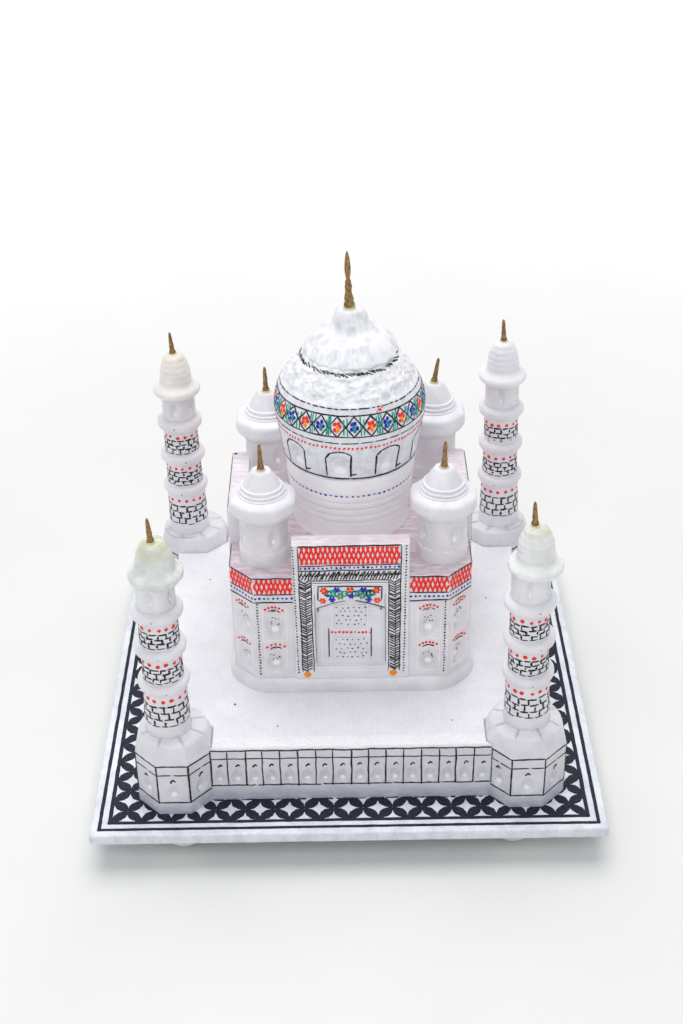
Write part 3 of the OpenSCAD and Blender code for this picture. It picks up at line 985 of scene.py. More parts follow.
# %% The linen deck on top of it
RIM_BEGINS, RIM_FULL = 2.6, 1.2  # the smooth rim, in millimetres from the walls
r = Recipe("linen_deck")
DECK_STONE = r.material
weave = r.times(r.lines(0.87, "X", 1.1), r.lines(0.87, "Y", 1.1), "ADD")
weave = r.mask(weave, 0.55, 1.75)
worn = r.mask(r.noise(9, 3, 0.6), 0.30, 0.62)
x_y = r.node("ShaderNodeSeparateXYZ", {"Vector": r.place})
reach_x, reach_y = (r.times(x_y.outputs[k], 0.0, "ABSOLUTE") for k in "XY")
reach = r.times(reach_x, reach_y, "MAXIMUM")
rim = r.mask(reach, (plinth_high[0] - RIM_BEGINS) * MM, (plinth_high[0] - RIM_FULL) * MM)
weave = r.times(weave, r.times(1.0, rim, "SUBTRACT"))
grey = r.blend(r.mask(r.noise(5, 4, 0.6), 0.35, 0.7), (0.84, 0.84, 0.885), (0.78, 0.78, 0.83))
grey = r.blend(r.times(r.times(weave, worn), 0.75), grey, (0.965, 0.955, 0.97))
# The smooth rim is lighter, in patches.
rim_patches = r.mask(r.noise(1.1, 4, 0.7), 0.35, 0.6)
grey = r.blend(r.times(r.times(rim, rim_patches), 0.7), grey, (0.94, 0.935, 0.95))
r.finish(
    Base_Color=grey,
    Roughness=0.5,
    Normal=r.bump(r.times(weave, worn), 0.12, r.bump(r.noise(0.9, 4, 0.7), 0.09)),
    Subsurface_Weight=0.25,
    Subsurface_Radius=SCATTER,
    Subsurface_Scale=2.0 * MM,
)
block.data.materials.append(DECK_STONE)
block.data.polygons[len(block.data.polygons) - 1].material_index = 1
print("the deck is", (plinth_high - plinth_low)[:2].round(1), "mm")

# %% [markdown]
# The towers are stacks of eight-sided outlines. Over the ink lines the outline turns slowly into a circle, so
# the top is a soft collar, ground by hand, with a flat ring on which the minaret stands and a drilled socket.

# %% The collar of a tower
COLLAR_FALLS = (-4.7, -3.4, -2.1, -0.8)  # heights, from the seat down, at which the outline turns round
COLLAR_SHARES = (0.0, 0.2, 0.7, 1.0)
LIP_FALLS, LIP_INSETS = (-4.7, -2.1, -0.8, -0.4, -0.2), (0, 0.8, 1.3, 1.8, 2.6)


def rounded_collar(ring, mid, half, fall):
    """Draws one ring of a tower towards a circle, by how far it is below the seat."""
    share = np.interp(fall, COLLAR_FALLS, COLLAR_SHARES)
    circle = half - np.interp(fall, LIP_FALLS, LIP_INSETS)
    around = np.array(ring[:, :2]) - mid
    far_out = np.linalg.norm(around, axis=1)
    ring[:, :2] = mid + around * ((far_out * (1 - share) + circle * share) / far_out)[:, None]


print("the collar begins", -COLLAR_FALLS[0], "mm under the seat")

# %% The corner towers
SEAT_RINGS = (  # radius, height over the seat, and unevenness: the flat ring, and then the socket
    (8.3, -0.12, 0.3), (7.5, 0.05, 0.2), (7.1, 0.10, 0.1), (6.9, 0.0, 0), (2.15, 0, 0), (2.15, -8.8, 0),
)
towers = {}
for n, corner in enumerate(CORNERS):
    low, high = span("tower_" + corner)
    mid, eight = tower_outline(corner)
    tower = Walls(eight)
    towers[corner] = tower
    for k in range(8):
        tower.scoop(tower.starts[k] + tower.runs[k] / 2, TOP + SCOOP_Z - 0.3, 1.7, 2.9, 0.95)
    seat, up = seat_of(corner)
    seat_z = seat[2]
    side = [(TOP + h, 0, 0.2) for h in rows((0, 5, 1.2), (5, 11.8, 0.4), (11.8, 18, 1.5))]
    side += [(TOP + 18.3, 0.03, 0.6), (TOP + 18.7, 0.12, 1), (TOP + 19.2, 0.3, 1.5), (TOP + 20.1, 0.55, 1.8)]
    side += [
        (seat_z - 2.1, 0.9, 1.8), (seat_z - 1.3, 1.15, 1.5), (seat_z - 0.8, 1.4, 1.2), (seat_z - 0.4, 1.9, 1),
        (seat_z - 0.2, 2.6, 0.8),
    ]
    rings = slab(tower, side, 0.62, wear=0.22, seed=31 + n)
    for ring in rings:
        rounded_collar(ring, mid, (high - low)[0] / 2, ring[0][2] - seat_z)
    rim = np.array(rings[-1])[:, :2] - seat[:2]
    angles = np.degrees(np.arctan2(rim[:, 0], -rim[:, 1]))
    uneven = wobble(41 + n)
    axis_line = Turned(seat, up, [-20, 20], [0, 0])
    for reach, h, amount in SEAT_RINGS:
        rings.append(
            axis_line.place(angles, np.full(len(angles), h), reach + amount * uneven(np.radians(angles)))
        )
    points, faces = stack(rings)
    name = "tower_stone_" + corner
    add_piece(name, points, faces, "monument", TERRACE_SHADED_STONE, ["tower_" + corner], crease=50)
print("towers:", list(towers))

# %% [markdown]
# The ruled lines were drawn freehand with a felt pen after gluing. They cross the joints between the pieces,
# run unevenly, and end in small blobs. Each bay has a little hook over its scoop, like the head of an arch.

# %% A hook over a scoop
wall_ink = Brush("terrace_ink", "black_ink", seed=51)
dice = wall_ink.dice


def hook(brush, surface, s, z, size=1.0):
    """A small arch head, drawn in one or two quick moves."""
    tilt = dice.uniform(-0.25, 0.35)
    left = (s - 0.62 * size, z - 0.45 * size + tilt * 0.3)
    peak = (s + 0.05 * size, z + 0.42 * size)
    right = (s + 0.6 * size, z - 0.12 * size - tilt * 0.5)
    brush.stroke(surface, [left, peak, right], 0.50 * size, shake=0.04, step=0.25, swell=0.4)
    if dice.random() < 0.6:
        brush.dot(surface, s - 0.5 * size, z - 0.4 * size, 0.55 * size)


print("the pen's paint is", wall_ink.ink)

# %% Ruled lines and hooks on the terrace
for edges in terrace_bays:
    a, b = edges[0] + 0.1, edges[-1] - 0.1
    wall_ink.stroke(terrace, [(a, TOP + LINE_HIGH), (b, TOP + LINE_HIGH)], 0.46, shake=0.16)
    wall_ink.stroke(terrace, [(a, TOP + LINE_SECOND), (b, TOP + LINE_SECOND)], 0.40, shake=0.14)
    start = a
    while start < b:
        end = min(b, start + dice.uniform(6, 24))
        wall_ink.stroke(terrace, [(start, TOP + LINE_LOW), (end, TOP + LINE_LOW)], 0.44, shake=0.12)
        start = end + dice.uniform(0.1, 0.5)
    for s in edges:
        s = min(max(s, a), b) + dice.uniform(-0.2, 0.2)
        wide = dice.uniform(0.36, 0.55)
        low_z, high_z = LINE_LOW - dice.uniform(-0.2, 0.3), LINE_HIGH - dice.uniform(0, 0.4)
        slant = dice.uniform(-0.15, 0.15)
        wall_ink.stroke(terrace, [(s, TOP + low_z), (s + slant, TOP + high_z)], wide, shake=0.08)
        wall_ink.dot(terrace, s, TOP + low_z + 0.1, wide * 1.5)
    for s, t in zip(edges, edges[1:]):
        middle_s = (s + t) / 2 + dice.uniform(-0.2, 0.5)
        hook(wall_ink, terrace, middle_s, TOP + 13.1 + dice.uniform(-0.15, 0.15), 1.05)
print("terrace lines and hooks:", wall_ink.count)

# %% Ruled lines and hooks on the towers
TOWER_LINES = (18.1, 14.8, 4.6)
for tower in towers.values():
    for k in range(8):
        s0, s1 = tower.starts[k], tower.starts[k] + tower.runs[k]
        high_z, second, low_z = (TOP + z + dice.uniform(-0.15, 0.15) for z in TOWER_LINES)
        for z, wide in ((high_z, 0.48), (low_z, 0.48)):
            z1 = z + dice.uniform(-0.2, 0.2)
            wall_ink.stroke(tower, [(s0 - 0.1, z), (s1 + 0.1 - 0.2, z1)], wide, shake=0.1)
        cut = s0 + (s1 - s0) * dice.uniform(0.4, 0.6)
        wall_ink.stroke(tower, [(s0 + 0.05, second), (cut - 0.3, second + 0.05)], 0.42, shake=0.08)
        wall_ink.stroke(tower, [(cut + 0.3, second), (s1 - 0.1, second)], 0.42, shake=0.08)
        wall_ink.stroke(tower, [(s0 + 0.12, low_z), (s0 + 0.12, high_z)], dice.uniform(0.45, 0.65), shake=0.06)
        wall_ink.dot(tower, s0 + 0.15, low_z, 0.8)
        wall_ink.dot(tower, s0 + 0.15, high_z, 0.6)
        hook(wall_ink, tower, (s0 + s1) / 2, TOP + 12.6, 1.2)
print("with the towers:", wall_ink.count)

# %% [markdown]
# A painted highlight lies at the bottom of each scoop, where its floor would catch the light. It is laid on
# like paint, as a thin uneven white oval. A few stray specks of ink lie on the deck.

# %% Painted highlights in the scoops, and specks
dust_and_highlights = Brush("terrace_highlights", "white_dust_and_highlights", slot="white_stone", seed=57)
for edges in terrace_bays:
    for a, b in zip(edges, edges[1:]):
        dust_and_highlights.highlight_oval(terrace, (a + b) / 2 + 0.15, TOP + SCOOP_Z - 1.35, 0.85, 0.75)
for tower in towers.values():
    for start, run in zip(tower.starts, tower.runs):
        dust_and_highlights.highlight_oval(tower, start + run / 2, TOP + SCOOP_Z - 1.75, 1.05, 0.85)
dust_and_highlights.lay()
deck = Panel((0, 0, DECK), (1, 0, 0), (0, 1, 0))
SPECKS = ((-33.5, -40.2, 0.7), (-20.4, -50.5, 0.45), (31.0, -49.0, 0.4), (46.0, 12.0, 0.5), (-45.0, 25.0, 0.5))
for x, y, size in SPECKS:
    wall_ink.dot(deck, x, y, size, 1.4, 30)
wall_ink.lay()

# %% [markdown]
# ## The main building
# The building is one sawn block on a low step, with its four corners cut off and a taller slab let into each
# side as the portal. Deep oval scoops stand for windows. The faces were left from the saw and brushed with a
# thin lilac wash on the roof, and the paint begins just under the roof.

# %% Outlines with cut corners
CUT = 7.0
low, high = span("tomb_block")
HALF_SIDE = (high - low)[0] / 2
portal_low, portal_high = span("portal_front")
PORTAL_HALF = (portal_high - portal_low)[0] / 2
NOTCH = TOMB[1] - portal_high[1]
FACE = TOMB[1] - portal_low[1]
step_half = (span("tomb_step")[1] - span("tomb_step")[0])[0] / 2


def four_sides(points):
    """A quarter outline, turned round the middle of the building four times."""
    outline = []
    for side in range(4):
        outline += [tuple(TOMB + turned_by(p, side * math.pi / 2)) for p in points]
    return outline


def cut_square(half, cut):
    return four_sides([(-half + cut, -half), (half - cut, -half)])


def rounded(outline, reach, steps=5):
    """The outline with every corner replaced by a short curve that starts reach before it."""
    points = [np.array(p, float) for p in outline]
    made = []
    for i, p in enumerate(points):
        before, after = points[i - 1] - p, points[(i + 1) % len(points)] - p
        a = p + before / np.linalg.norm(before) * reach
        b = p + after / np.linalg.norm(after) * reach
        for t in np.linspace(0, 1, steps):
            made.append(tuple((1 - t) ** 2 * a + 2 * t * (1 - t) * p + t * t * b))
    return made


print("the building's half side is", round(HALF_SIDE, 2), "mm")

# %% The step
step_walls = Walls(rounded(cut_square(step_half, CUT + step_half - HALF_SIDE), 3.8))
low_z = span("tomb_step")[0][2]
profile = [
    (low_z, 0, 0.3), (low_z + 1.5, 0, 0.6), (STEP - 2.0, 0.05, 0.8), (STEP - 1.1, 0.25, 1),
    (STEP - 0.45, 0.7, 1)
]
points, faces = stack(slab(step_walls, profile + [(STEP, 1.45, 0.6)], 1.0, wear=0.18, seed=61))
add_piece("mausoleum_step", points, faces, "monument", KIOSK_STONE, ["tomb_step"], crease=50)
print("step", len(faces), "faces")

# %% The block and its windows
quarter = [
    (-HALF_SIDE + CUT, -HALF_SIDE), (-PORTAL_HALF, -HALF_SIDE), (-PORTAL_HALF, -NOTCH), (PORTAL_HALF, -NOTCH),
    (PORTAL_HALF, -HALF_SIDE), (HALF_SIDE - CUT, -HALF_SIDE),
]
block_walls = Walls(four_sides(quarter))


def in_a_portal(point):
    """True where a point isn't on an outer wall, but in a notch that a portal fills."""
    x, y = abs(point - TOMB)
    return max(x, y) < HALF_SIDE - 0.1 and abs(x - y) > CUT


block_walls.plain(in_a_portal)
WINDOWS = ((43.4, 2.7, 4.9), (30.4, 2.5, 3.7))
BAY_MIDDLE = 22.75
bay_places = []
for side in range(4):
    for x in (-BAY_MIDDLE, BAY_MIDDLE):
        bay_places.append(block_walls.find(*(TOMB + turned_by((x, -HALF_SIDE), side * math.pi / 2))))
    d = HALF_SIDE - CUT / 2
    bay_places.append(block_walls.find(*(TOMB + turned_by((d, -d), side * math.pi / 2))))
for s in bay_places:
    for z, w, h in WINDOWS:
        block_walls.scoop(s, TOP + z, w, h, 1.6)
        block_walls.scoop(s, TOP + z - 0.45 * h, 0.7 * w, 0.4 * h, 0.35)
heights = rows((STEP, TOP + 26, 1.0), (TOP + 26, TOP + 49, 0.42), (TOP + 49, ROOF - 0.8, 1.4))
profile = [(z, 0, 0.3) for z in heights]
profile += [(ROOF - 0.7, 0, 0.8), (ROOF - 0.3, 0.1, 1), (ROOF - 0.08, 0.35, 1), (ROOF, 0.8, 0.8)]
points, faces = stack(slab(block_walls, profile, 0.5, wear=0.15, seed=71))
add_piece("mausoleum_block", points, faces, "monument", WALL_STONE, ["tomb_block"], crease=45)
print("block", len(faces), "faces, windows", len(block_walls.scoops) // 2)

# %% [markdown]
# ## The portals
# Each portal is a slab with a shallow niche under a flat pointed arch. The slab is again a stack of rings,
# this time lying on its back: the rings run from the back of the slab round its edges to the front, and then
# down into the niche. Two thin screens with pricked dots stand in the niche.

# %% A portal slab with its niche
SIDES = ("front", "right", "back", "left")
NICHE = {"half": 10.3, "sill": 28.0, "spring": 49.6, "tip": 52.4, "deep": 1.4}
NICHE_X = -0.3


def arch_outline(grow):
    """The niche's outline, anticlockwise from its lower left corner, grown by a small amount."""
    w = NICHE["half"] + grow
    sill, spring, tip = (NICHE[k] for k in ("sill", "spring", "tip"))
    arch = [(t * w, spring + grow + (tip - spring) * (1 - abs(t) ** 1.5)) for t in np.linspace(1, -1, 15)]
    return [(-w, sill - grow), (w, sill - grow)] + arch


def ray_ring(outline, angles, centre):
    """Where rays from the centre at these angles meet a closed outline."""
    outline = np.array(outline, float) - centre
    after = np.roll(outline, -1, axis=0)
    ring = []
    for a in angles:
        way = np.array([math.cos(a), math.sin(a)])
        best = None
        for p, q in zip(outline, after):
            edge = q - p
            det = way[0] * -edge[1] + edge[0] * way[1]
            if abs(det) < 1e-12:
                continue
            t = (p[0] * -edge[1] + edge[0] * p[1]) / det
            u = (way[0] * p[1] - way[1] * p[0]) / det
            if t > 0 and -1e-9 <= u <= 1 + 1e-9 and (best is None or t < best):
                best = t
        ring.append(way * best + centre)
    return np.array(ring)


def portal_piece(side):
    """One portal slab, built facing the front and turned to its side."""
    name = SIDES[side]
    low_z, top_z = portal_low[2] - TOP, portal_high[2] - TOP
    thick = portal_high[1] - portal_low[1]
    centre = np.array([NICHE_X, 42.0])
    box = lambda g: [
        (-PORTAL_HALF + g, low_z), (PORTAL_HALF - g, low_z), (PORTAL_HALF - g, top_z - g),
        (-PORTAL_HALF + g, top_z - g)
    ]
    inner = lambda g: [(x + NICHE_X, z) for x, z in arch_outline(g)]
    angles = set(np.arange(120) * math.pi / 60 - math.pi)
    for x, z in box(0) + inner(0)[:3] + inner(0)[-1:]:
        angles.add(math.atan2(z - centre[1], x - centre[0]))
    angles = sorted(angles)
    deep = NICHE["deep"]
    levels = [
        (box(0), thick), (box(0), 0.6), (box(0.08), 0.25), (box(0.28), 0.06), (box(0.6), 0.0),
        (inner(0.5), 0.0), (inner(0.2), 0.08), (inner(0), 0.3), (inner(-0.1), deep - 0.2), (inner(-0.35), deep),
    ]
    rings = []
    for outline, y in levels:
        ring = ray_ring(outline, angles, centre)
        rings.append(np.column_stack([ring[:, 0], np.full(len(ring), y - FACE), ring[:, 1] + TOP]))
    points, faces = stack(rings)
    c, s = math.cos(side * math.pi / 2), math.sin(side * math.pi / 2)
    turned_points = np.column_stack(
        [
            c * points[:, 0] - s * points[:, 1] + TOMB[0], s * points[:, 0] + c * points[:, 1] + TOMB[1],
            points[:, 2]
        ]
    )
    faces = [face[::-1] for face in faces]
    return add_piece(
        "portal_slab_" + name, turned_points, faces, "monument", PORTAL_STONE,
        ["portal_" + name], 35
    )


print("the niche is", 2 * NICHE["half"], "mm wide")

# %% Four portals
PORTAL_STONE = stone(
    "portal_alabaster", (0.85, 0.84, 0.875), (0.77, 0.75, 0.78), wash=(LILAC, 71.6, 72.3, 0.7)
)
for side in range(4):
    portal_piece(side)
print("portals on", SIDES)

# %% Screens in the niches


def side_panel(side, depth=0.0):
    """The flat face of a portal as a painting surface: s across from its middle, z above the plate."""
    angle = side * math.pi / 2
    start = TOMB + turned_by((0, -FACE + depth), angle)
    along = turned_by((1, 0), angle)
    return Panel((start[0], start[1], TOP), (along[0], along[1], 0))


def screen(name, side, x0, x1, z0, z1, thick=0.32):
    """A thin raised screen on the niche floor."""
    floor = side_panel(side, NICHE["deep"])
    rings = []
    for lift, inset in ((-0.2, 0), (thick - 0.12, 0), (thick - 0.03, 0.06), (thick, 0.2)):
        path = [(
            x0 + inset, z0 + inset
        ), (x1 - inset, z0 + inset), (x1 - inset, z1 - inset), (x0 + inset, z1 - inset)]
        ring = []
        for a, b in zip(path, path[1:] + path[:1]):
            for t in np.arange(8) / 8:
                ring.append(floor.place(a[0] + t * (b[0] - a[0]), a[1] + t * (b[1] - a[1]), lift))
        rings.append(ring)
    points, faces = stack(rings)
    return add_piece(name, points, faces, "monument", PORTAL_STONE, crease=35)


for side, name in enumerate(SIDES):
    screen("screen_upper_" + name, side, -5.0, 4.4, 41.6, 50.3)
    screen("screen_lower_" + name, side, -5.6, 4.9, 30.2, 38.4)
print("portals and screens in place")

# %% [markdown]
# ## Painting the building
# The order follows the painter: first the ruled black lines, then the red net, then rows of dots, and last
# the flowers. The net is two families of slanting strokes that cross, so that small pale ovals stay open.

# %% Patterns that repeat
black = Brush("mausoleum_ink", "black_ink", seed=81)
fine = Brush("mausoleum_faint_ink", "faint_ink", seed=82)
red = Brush("mausoleum_red", "red_paint", seed=83)
blue = Brush("mausoleum_blue", "blue_paint", seed=84)
teal = Brush("mausoleum_teal", "teal_paint", seed=85)
orange = Brush("mausoleum_orange", "orange_paint", seed=86)
dust_and_highlights = Brush("mausoleum_dust_and_highlights", "white_dust_and_highlights", seed=88)
dice = random.Random(87)


def net(brush, surface, s0, s1, z0, z1, cell=1.36, tall=3.9, wide=0.66):
    """A net of crossing strokes between two positions and two heights."""
    run = cell / tall * (z1 - z0)
    s = s0 - run
    while s < s1:
        for slant in (1, -1):
            a = s + dice.uniform(-0.1, 0.1)
            ends = [(a, z0), (a + run, z1)] if slant > 0 else [(a, z1), (a + run, z0)]
            path = []
            for t in np.linspace(0, 1, 12):
                x = ends[0][0] + t * (ends[1][0] - ends[0][0])
                if s0 <= x <= s1:
                    path.append((x, ends[0][1] + t * (ends[1][1] - ends[0][1]) + dice.uniform(-0.05, 0.05)))
            if len(path) > 1:
                brush.stroke(surface, path, wide, shake=0.05, step=0.5, swell=0.25)
        s += cell


def dot_row(brush, surface, places, size, jitter=0.12, long=1.0, skip=0.0):
    """Dots at a list of places, uneven in size and place."""
    for s, z in places:
        if dice.random() < skip:
            continue
        s, z = s + dice.uniform(-jitter, jitter), z + dice.uniform(-jitter, jitter)
        brush.dot(surface, s, z, size * dice.uniform(0.78, 1.2), long)


def row(s0, s1, z0, z1, pitch):
    count = max(1, round(math.hypot(s1 - s0, z1 - z0) / pitch))
    return [(s0 + (s1 - s0) * i / count, z0 + (z1 - z0) * i / count) for i in range(count + 1)]


def ruled(brush, surface, s0, s1, z0, z1, wide, shake=0.12):
    brush.stroke(surface, [(s0, z0), (s1, z1)], wide, shake=shake)


print("the building's paints:", [brush.ink for brush in (black, fine, red, blue, teal, orange, dust_and_highlights)])

# %% Marks round a window


def window_head(surface, s, z, tilt=0.0):
    """A black double arc over a window with an arc of red dots over it."""
    arc = [(s + 1.75 * t, z + 0.75 * (1 - t * t) + tilt * t) for t in np.linspace(-1, 1, 7)]
    black.stroke(surface, arc, 0.44, shake=0.05, step=0.4, swell=0.4)
    if dice.random() < 0.6:
        black.stroke(surface, [(x * 0.6 + s * 0.4, y - 0.5) for x, y in arc[1:5]], 0.26, shake=0.05, step=0.4)
    count = dice.choice((5, 6))
    for t in np.linspace(-1, 1, count):
        red.dot(surface, s + 2.5 * t + dice.uniform(-0.1, 0.1), z + 1.75 - 1.0 * t * t + tilt * t, 0.88, 1.1)


def pricks(surface, s, z, w, h, count):
    for _ in range(count):
        fine.dot(surface, s + dice.uniform(-w, w), z + dice.uniform(-h, h), dice.uniform(0.4, 0.6))


def scored(surface, s0, s1, z0, z1, wide=0.17):
    """A rectangle of four scratched lines that run a little past each other, white with crushed stone."""
    for a, b, c, d in ((s0, z0, s1, z0), (s1, z0, s1, z1), (s1, z1, s0, z1), (s0, z1, s0, z0)):
        dust_and_highlights.stroke(surface, [(a, b), (c, d)], wide, shake=0.05, step=0.9, swell=0.5)


print("windows to paint:", len(WINDOWS) * len(bay_places))

# %% Walls: net, dotted lines and window heads

for side in range(4):
    angle = side * math.pi / 2
    start = block_walls.find(*(TOMB + turned_by((PORTAL_HALF, -HALF_SIDE), angle)))
    corner_a = block_walls.find(*(TOMB + turned_by((HALF_SIDE - CUT, -HALF_SIDE), angle)))
    corner_b = block_walls.find(*(TOMB + turned_by((HALF_SIDE, -HALF_SIDE + CUT), angle)))
    if corner_b < corner_a:
        corner_b += block_walls.length
    end = corner_b + (corner_a - start)
    for a, b in ((start, corner_a), (corner_a, corner_b), (corner_b, end)):
        for z, wide in ((60.35, 0.40), (54.75, 0.40), (51.9, 0.46)):
            ruled(black, block_walls, a + 0.05, b - 0.05, TOP + z, TOP + z + dice.uniform(-0.15, 0.15), wide)
        net(red, block_walls, a + 0.15, b - 0.15, TOP + 55.0, TOP + 60.1)
        dot_row(blue, block_walls, row(a + 0.5, b - 0.5, TOP + 53.35, TOP + 53.35, 1.25), 0.82)
    for s in (corner_a - 1.0, corner_b + 1.0):
        dot_row(
            black, block_walls, row(s, s + dice.uniform(-0.3, 0.3), TOP + 51.3, TOP + 25.6, 1.02), 0.58, 0.08
        )
for s in bay_places:
    for (z, w, h), head in zip(WINDOWS, (48.5, 34.9)):
        window_head(block_walls, s + dice.uniform(-0.4, 0.2), TOP + head, dice.uniform(-0.25, 0.25))
        pricks(block_walls, s, TOP + z + 0.25 * h, 1.5, 0.4 * h, 7)
        # A painted highlight at the bottom of each window's scoop.
        dust_and_highlights.highlight_oval(block_walls, s + 0.1, TOP + z - 0.52 * h, 0.52 * w, 0.27 * h)
        scored(block_walls, s - w - 0.7, s + w + 0.9, TOP + z - h - 0.5, TOP + z + h + 0.9)
print("strokes of ink so far:", black.count)

# %% Hatching and a flower


def hatching(surface, s0, s1, z0, z1, upright):
    """A dense plait of short slanting strokes between two lines."""
    pitch = 0.86
    if upright:
        mid = (s0 + s1) / 2
        for z in np.arange(z0, z1 - 1.2, pitch):
            z += dice.uniform(-0.12, 0.12)
            rise = dice.uniform(1.0, 1.5)
            black.stroke(surface, [(s0 + 0.1, z + rise), (mid + 0.3, z)], dice.uniform(0.34, 0.5), 0.08, 0.5)
            black.stroke(
                surface, [(mid - 0.2, z + 0.3), (s1 - 0.1, z + rise + 0.2)], dice.uniform(0.3, 0.46), 0.08, 0.5
            )
    else:
        for s in np.arange(s0, s1 - 1.2, pitch):
            s += dice.uniform(-0.1, 0.1)
            lean = dice.uniform(0.8, 1.9)
            black.stroke(surface, [(s, z0 + 0.2), (s + lean, z1 - 0.2)], dice.uniform(0.32, 0.5), 0.1, 0.5)
            black.stroke(surface, [(s + 0.2, z0 + 1.4), (s + 1.4, z0 + 2.4)], 0.42, 0.1, 0.5)


def flower(surface, s, z, petals, heart, size=1.0):
    for k in range(6):
        a = math.radians(60 * k + dice.uniform(-12, 12))
        petals.dot(
            surface, s + 0.8 * size * math.cos(a), z + 0.8 * size * math.sin(a), 0.82 * size, 1.2,
            math.degrees(a) - 90
        )
    heart.dot(surface, s, z, 1.05 * size)


print("strokes of red so far:", red.count)

# %% The frame of a portal: net, ruled lines and hatching
cx = NICHE_X  # the paint is centred on the niche, a little to the left of the slab's middle


def portal_frame(face, outer=14.9, leg=11.3):
    """The net, the ruled lines, the rows of dots, the hatched legs and their orange tassels."""
    net(red, face, cx - outer + 0.2, cx + outer - 0.3, 65.5, 71.6)
    ruled(black, face, cx - outer, cx + outer, 71.75, 71.95, 0.46)
    ruled(black, face, cx - outer + 0.1, cx + outer, 64.95, 65.35, 0.36)
    ruled(black, face, cx - outer + 0.1, cx + outer, 63.35, 63.55, 0.42)
    dot_row(blue, face, row(cx - outer + 0.7, cx + outer - 0.7, 64.2, 64.45, 1.32), 0.80)
    for way in (-1, 1):
        ruled(black, face, cx + way * outer, cx + way * (outer - 0.5), 71.8, 26.6, 0.34)
        ruled(black, face, cx + way * leg, cx + way * (leg - 0.2), 60.0, 26.6, 0.34)
        hatching(face, *sorted((cx + way * outer, cx + way * leg)), 26.8, 60.6, True)
        dots = row(cx + way * 16.35, cx + way * 15.7, 71.6, 26.4, 1.02)
        dot_row(black, face, dots, 0.56, 0.07)
        orange.dot(face, cx + way * 12.9 - 0.3, 25.6 + dice.uniform(-0.2, 0.2), 2.5)
    hatching(face, cx - outer, cx + outer, 59.9, 63.3, False)
    ruled(black, face, cx - leg, cx + leg, 59.85, 59.9, 0.32)


print("the frame is centred on", cx)

# %% The lines round the arch


def arch_lines(face, floor):
    """The dark inner frame, and the faint lines outside it. Some lines step down into the niche."""
    for x0, z0, x1, z1, w in (
        (-9.4, 57.9, 9.4, 57.5, 0.46), (-9.3, 57.9, -9.5, 47.6, 0.42), (9.3, 57.6, 9.0, 48.2, 0.42),
        (-11.0, 59.0, 11.0, 59.1, 0.16), (-10.3, 30.0, -10.4, 55.0, 0.14), (10.3, 30.0, 10.2, 55.0, 0.14),
    ):
        brush = black if w > 0.2 else fine
        surface = face if z1 > 55 or abs(x0) > 10.2 or z0 > 55 else floor
        if abs(x0) < 10 and z1 < 50:
            brush.stroke(face, [(cx + x0, z0), (cx + x0 + 0.4 * (x1 - x0), 52.8)], w, shake=0.06)
            brush.stroke(floor, [(cx + x0 + 0.5 * (x1 - x0), 49.2), (cx + x1, z1)], w, shake=0.06)
        else:
            ruled(brush, surface, cx + x0, cx + x1, z0, z1, w, 0.08)


print("faint lines are drawn with", fine.ink)

# %% Flowers and curls over the arch


def arch_flowers(face):
    """Twelve flowers, and the teal curls of a creeper under them."""
    for x, z, kind, size in (
        (-7.7, 56.3, "red", 1.0), (-4.0, 56.6, "blue", 0.85), (0.1, 56.4, "red", 0.95),
        (4.0, 56.5, "blue", 0.85),
        (7.7, 56.2, "red", 1.0), (-8.0, 52.6, "red", 0.9), (-5.4, 53.0, "blue", 0.85),
        (5.5, 52.9, "blue", 0.85),
        (7.9, 52.6, "red", 0.9), (-2.8, 54.2, "orange", 1.0), (3.6, 54.3, "orange", 1.0),
        (0.4, 54.2, "blue", 0.8),
    ):
        x, z = cx + x + dice.uniform(-0.15, 0.15), z + dice.uniform(-0.1, 0.1)
        petals, heart = {"red": (red, orange), "blue": (blue, blue), "orange": (teal, orange)}[kind]
        flower(face, x, z, petals, heart, size)
    for x, r in (
        (-6.4, 0.95), (-5.4, 1.15), (-4.4, 1.1), (-3.4, 1.2), (-1.6, 1.0), (1.5, 1.0), (2.6, 1.1), (3.6, 1.2),
        (4.7, 1.1),
        (5.8, 1.15), (6.6, 0.9), (-0.3, 0.9),
    ):
        path = [
            (
                cx + x + r * math.cos(a),
                55.1 + 0.15 * abs(x) / 6 + 0.95 * r * math.sin(a) + dice.uniform(-0.1, 0.1)
            )
            for a in np.linspace(dice.uniform(0, 6), dice.uniform(5.5, 6.2) + 5.2, 14)
        ]
        teal.stroke(face, path, 0.55, shake=0.06, step=0.4, swell=0.4)


print("teal strokes so far:", teal.count)

# %% Dots and scratches in the niche


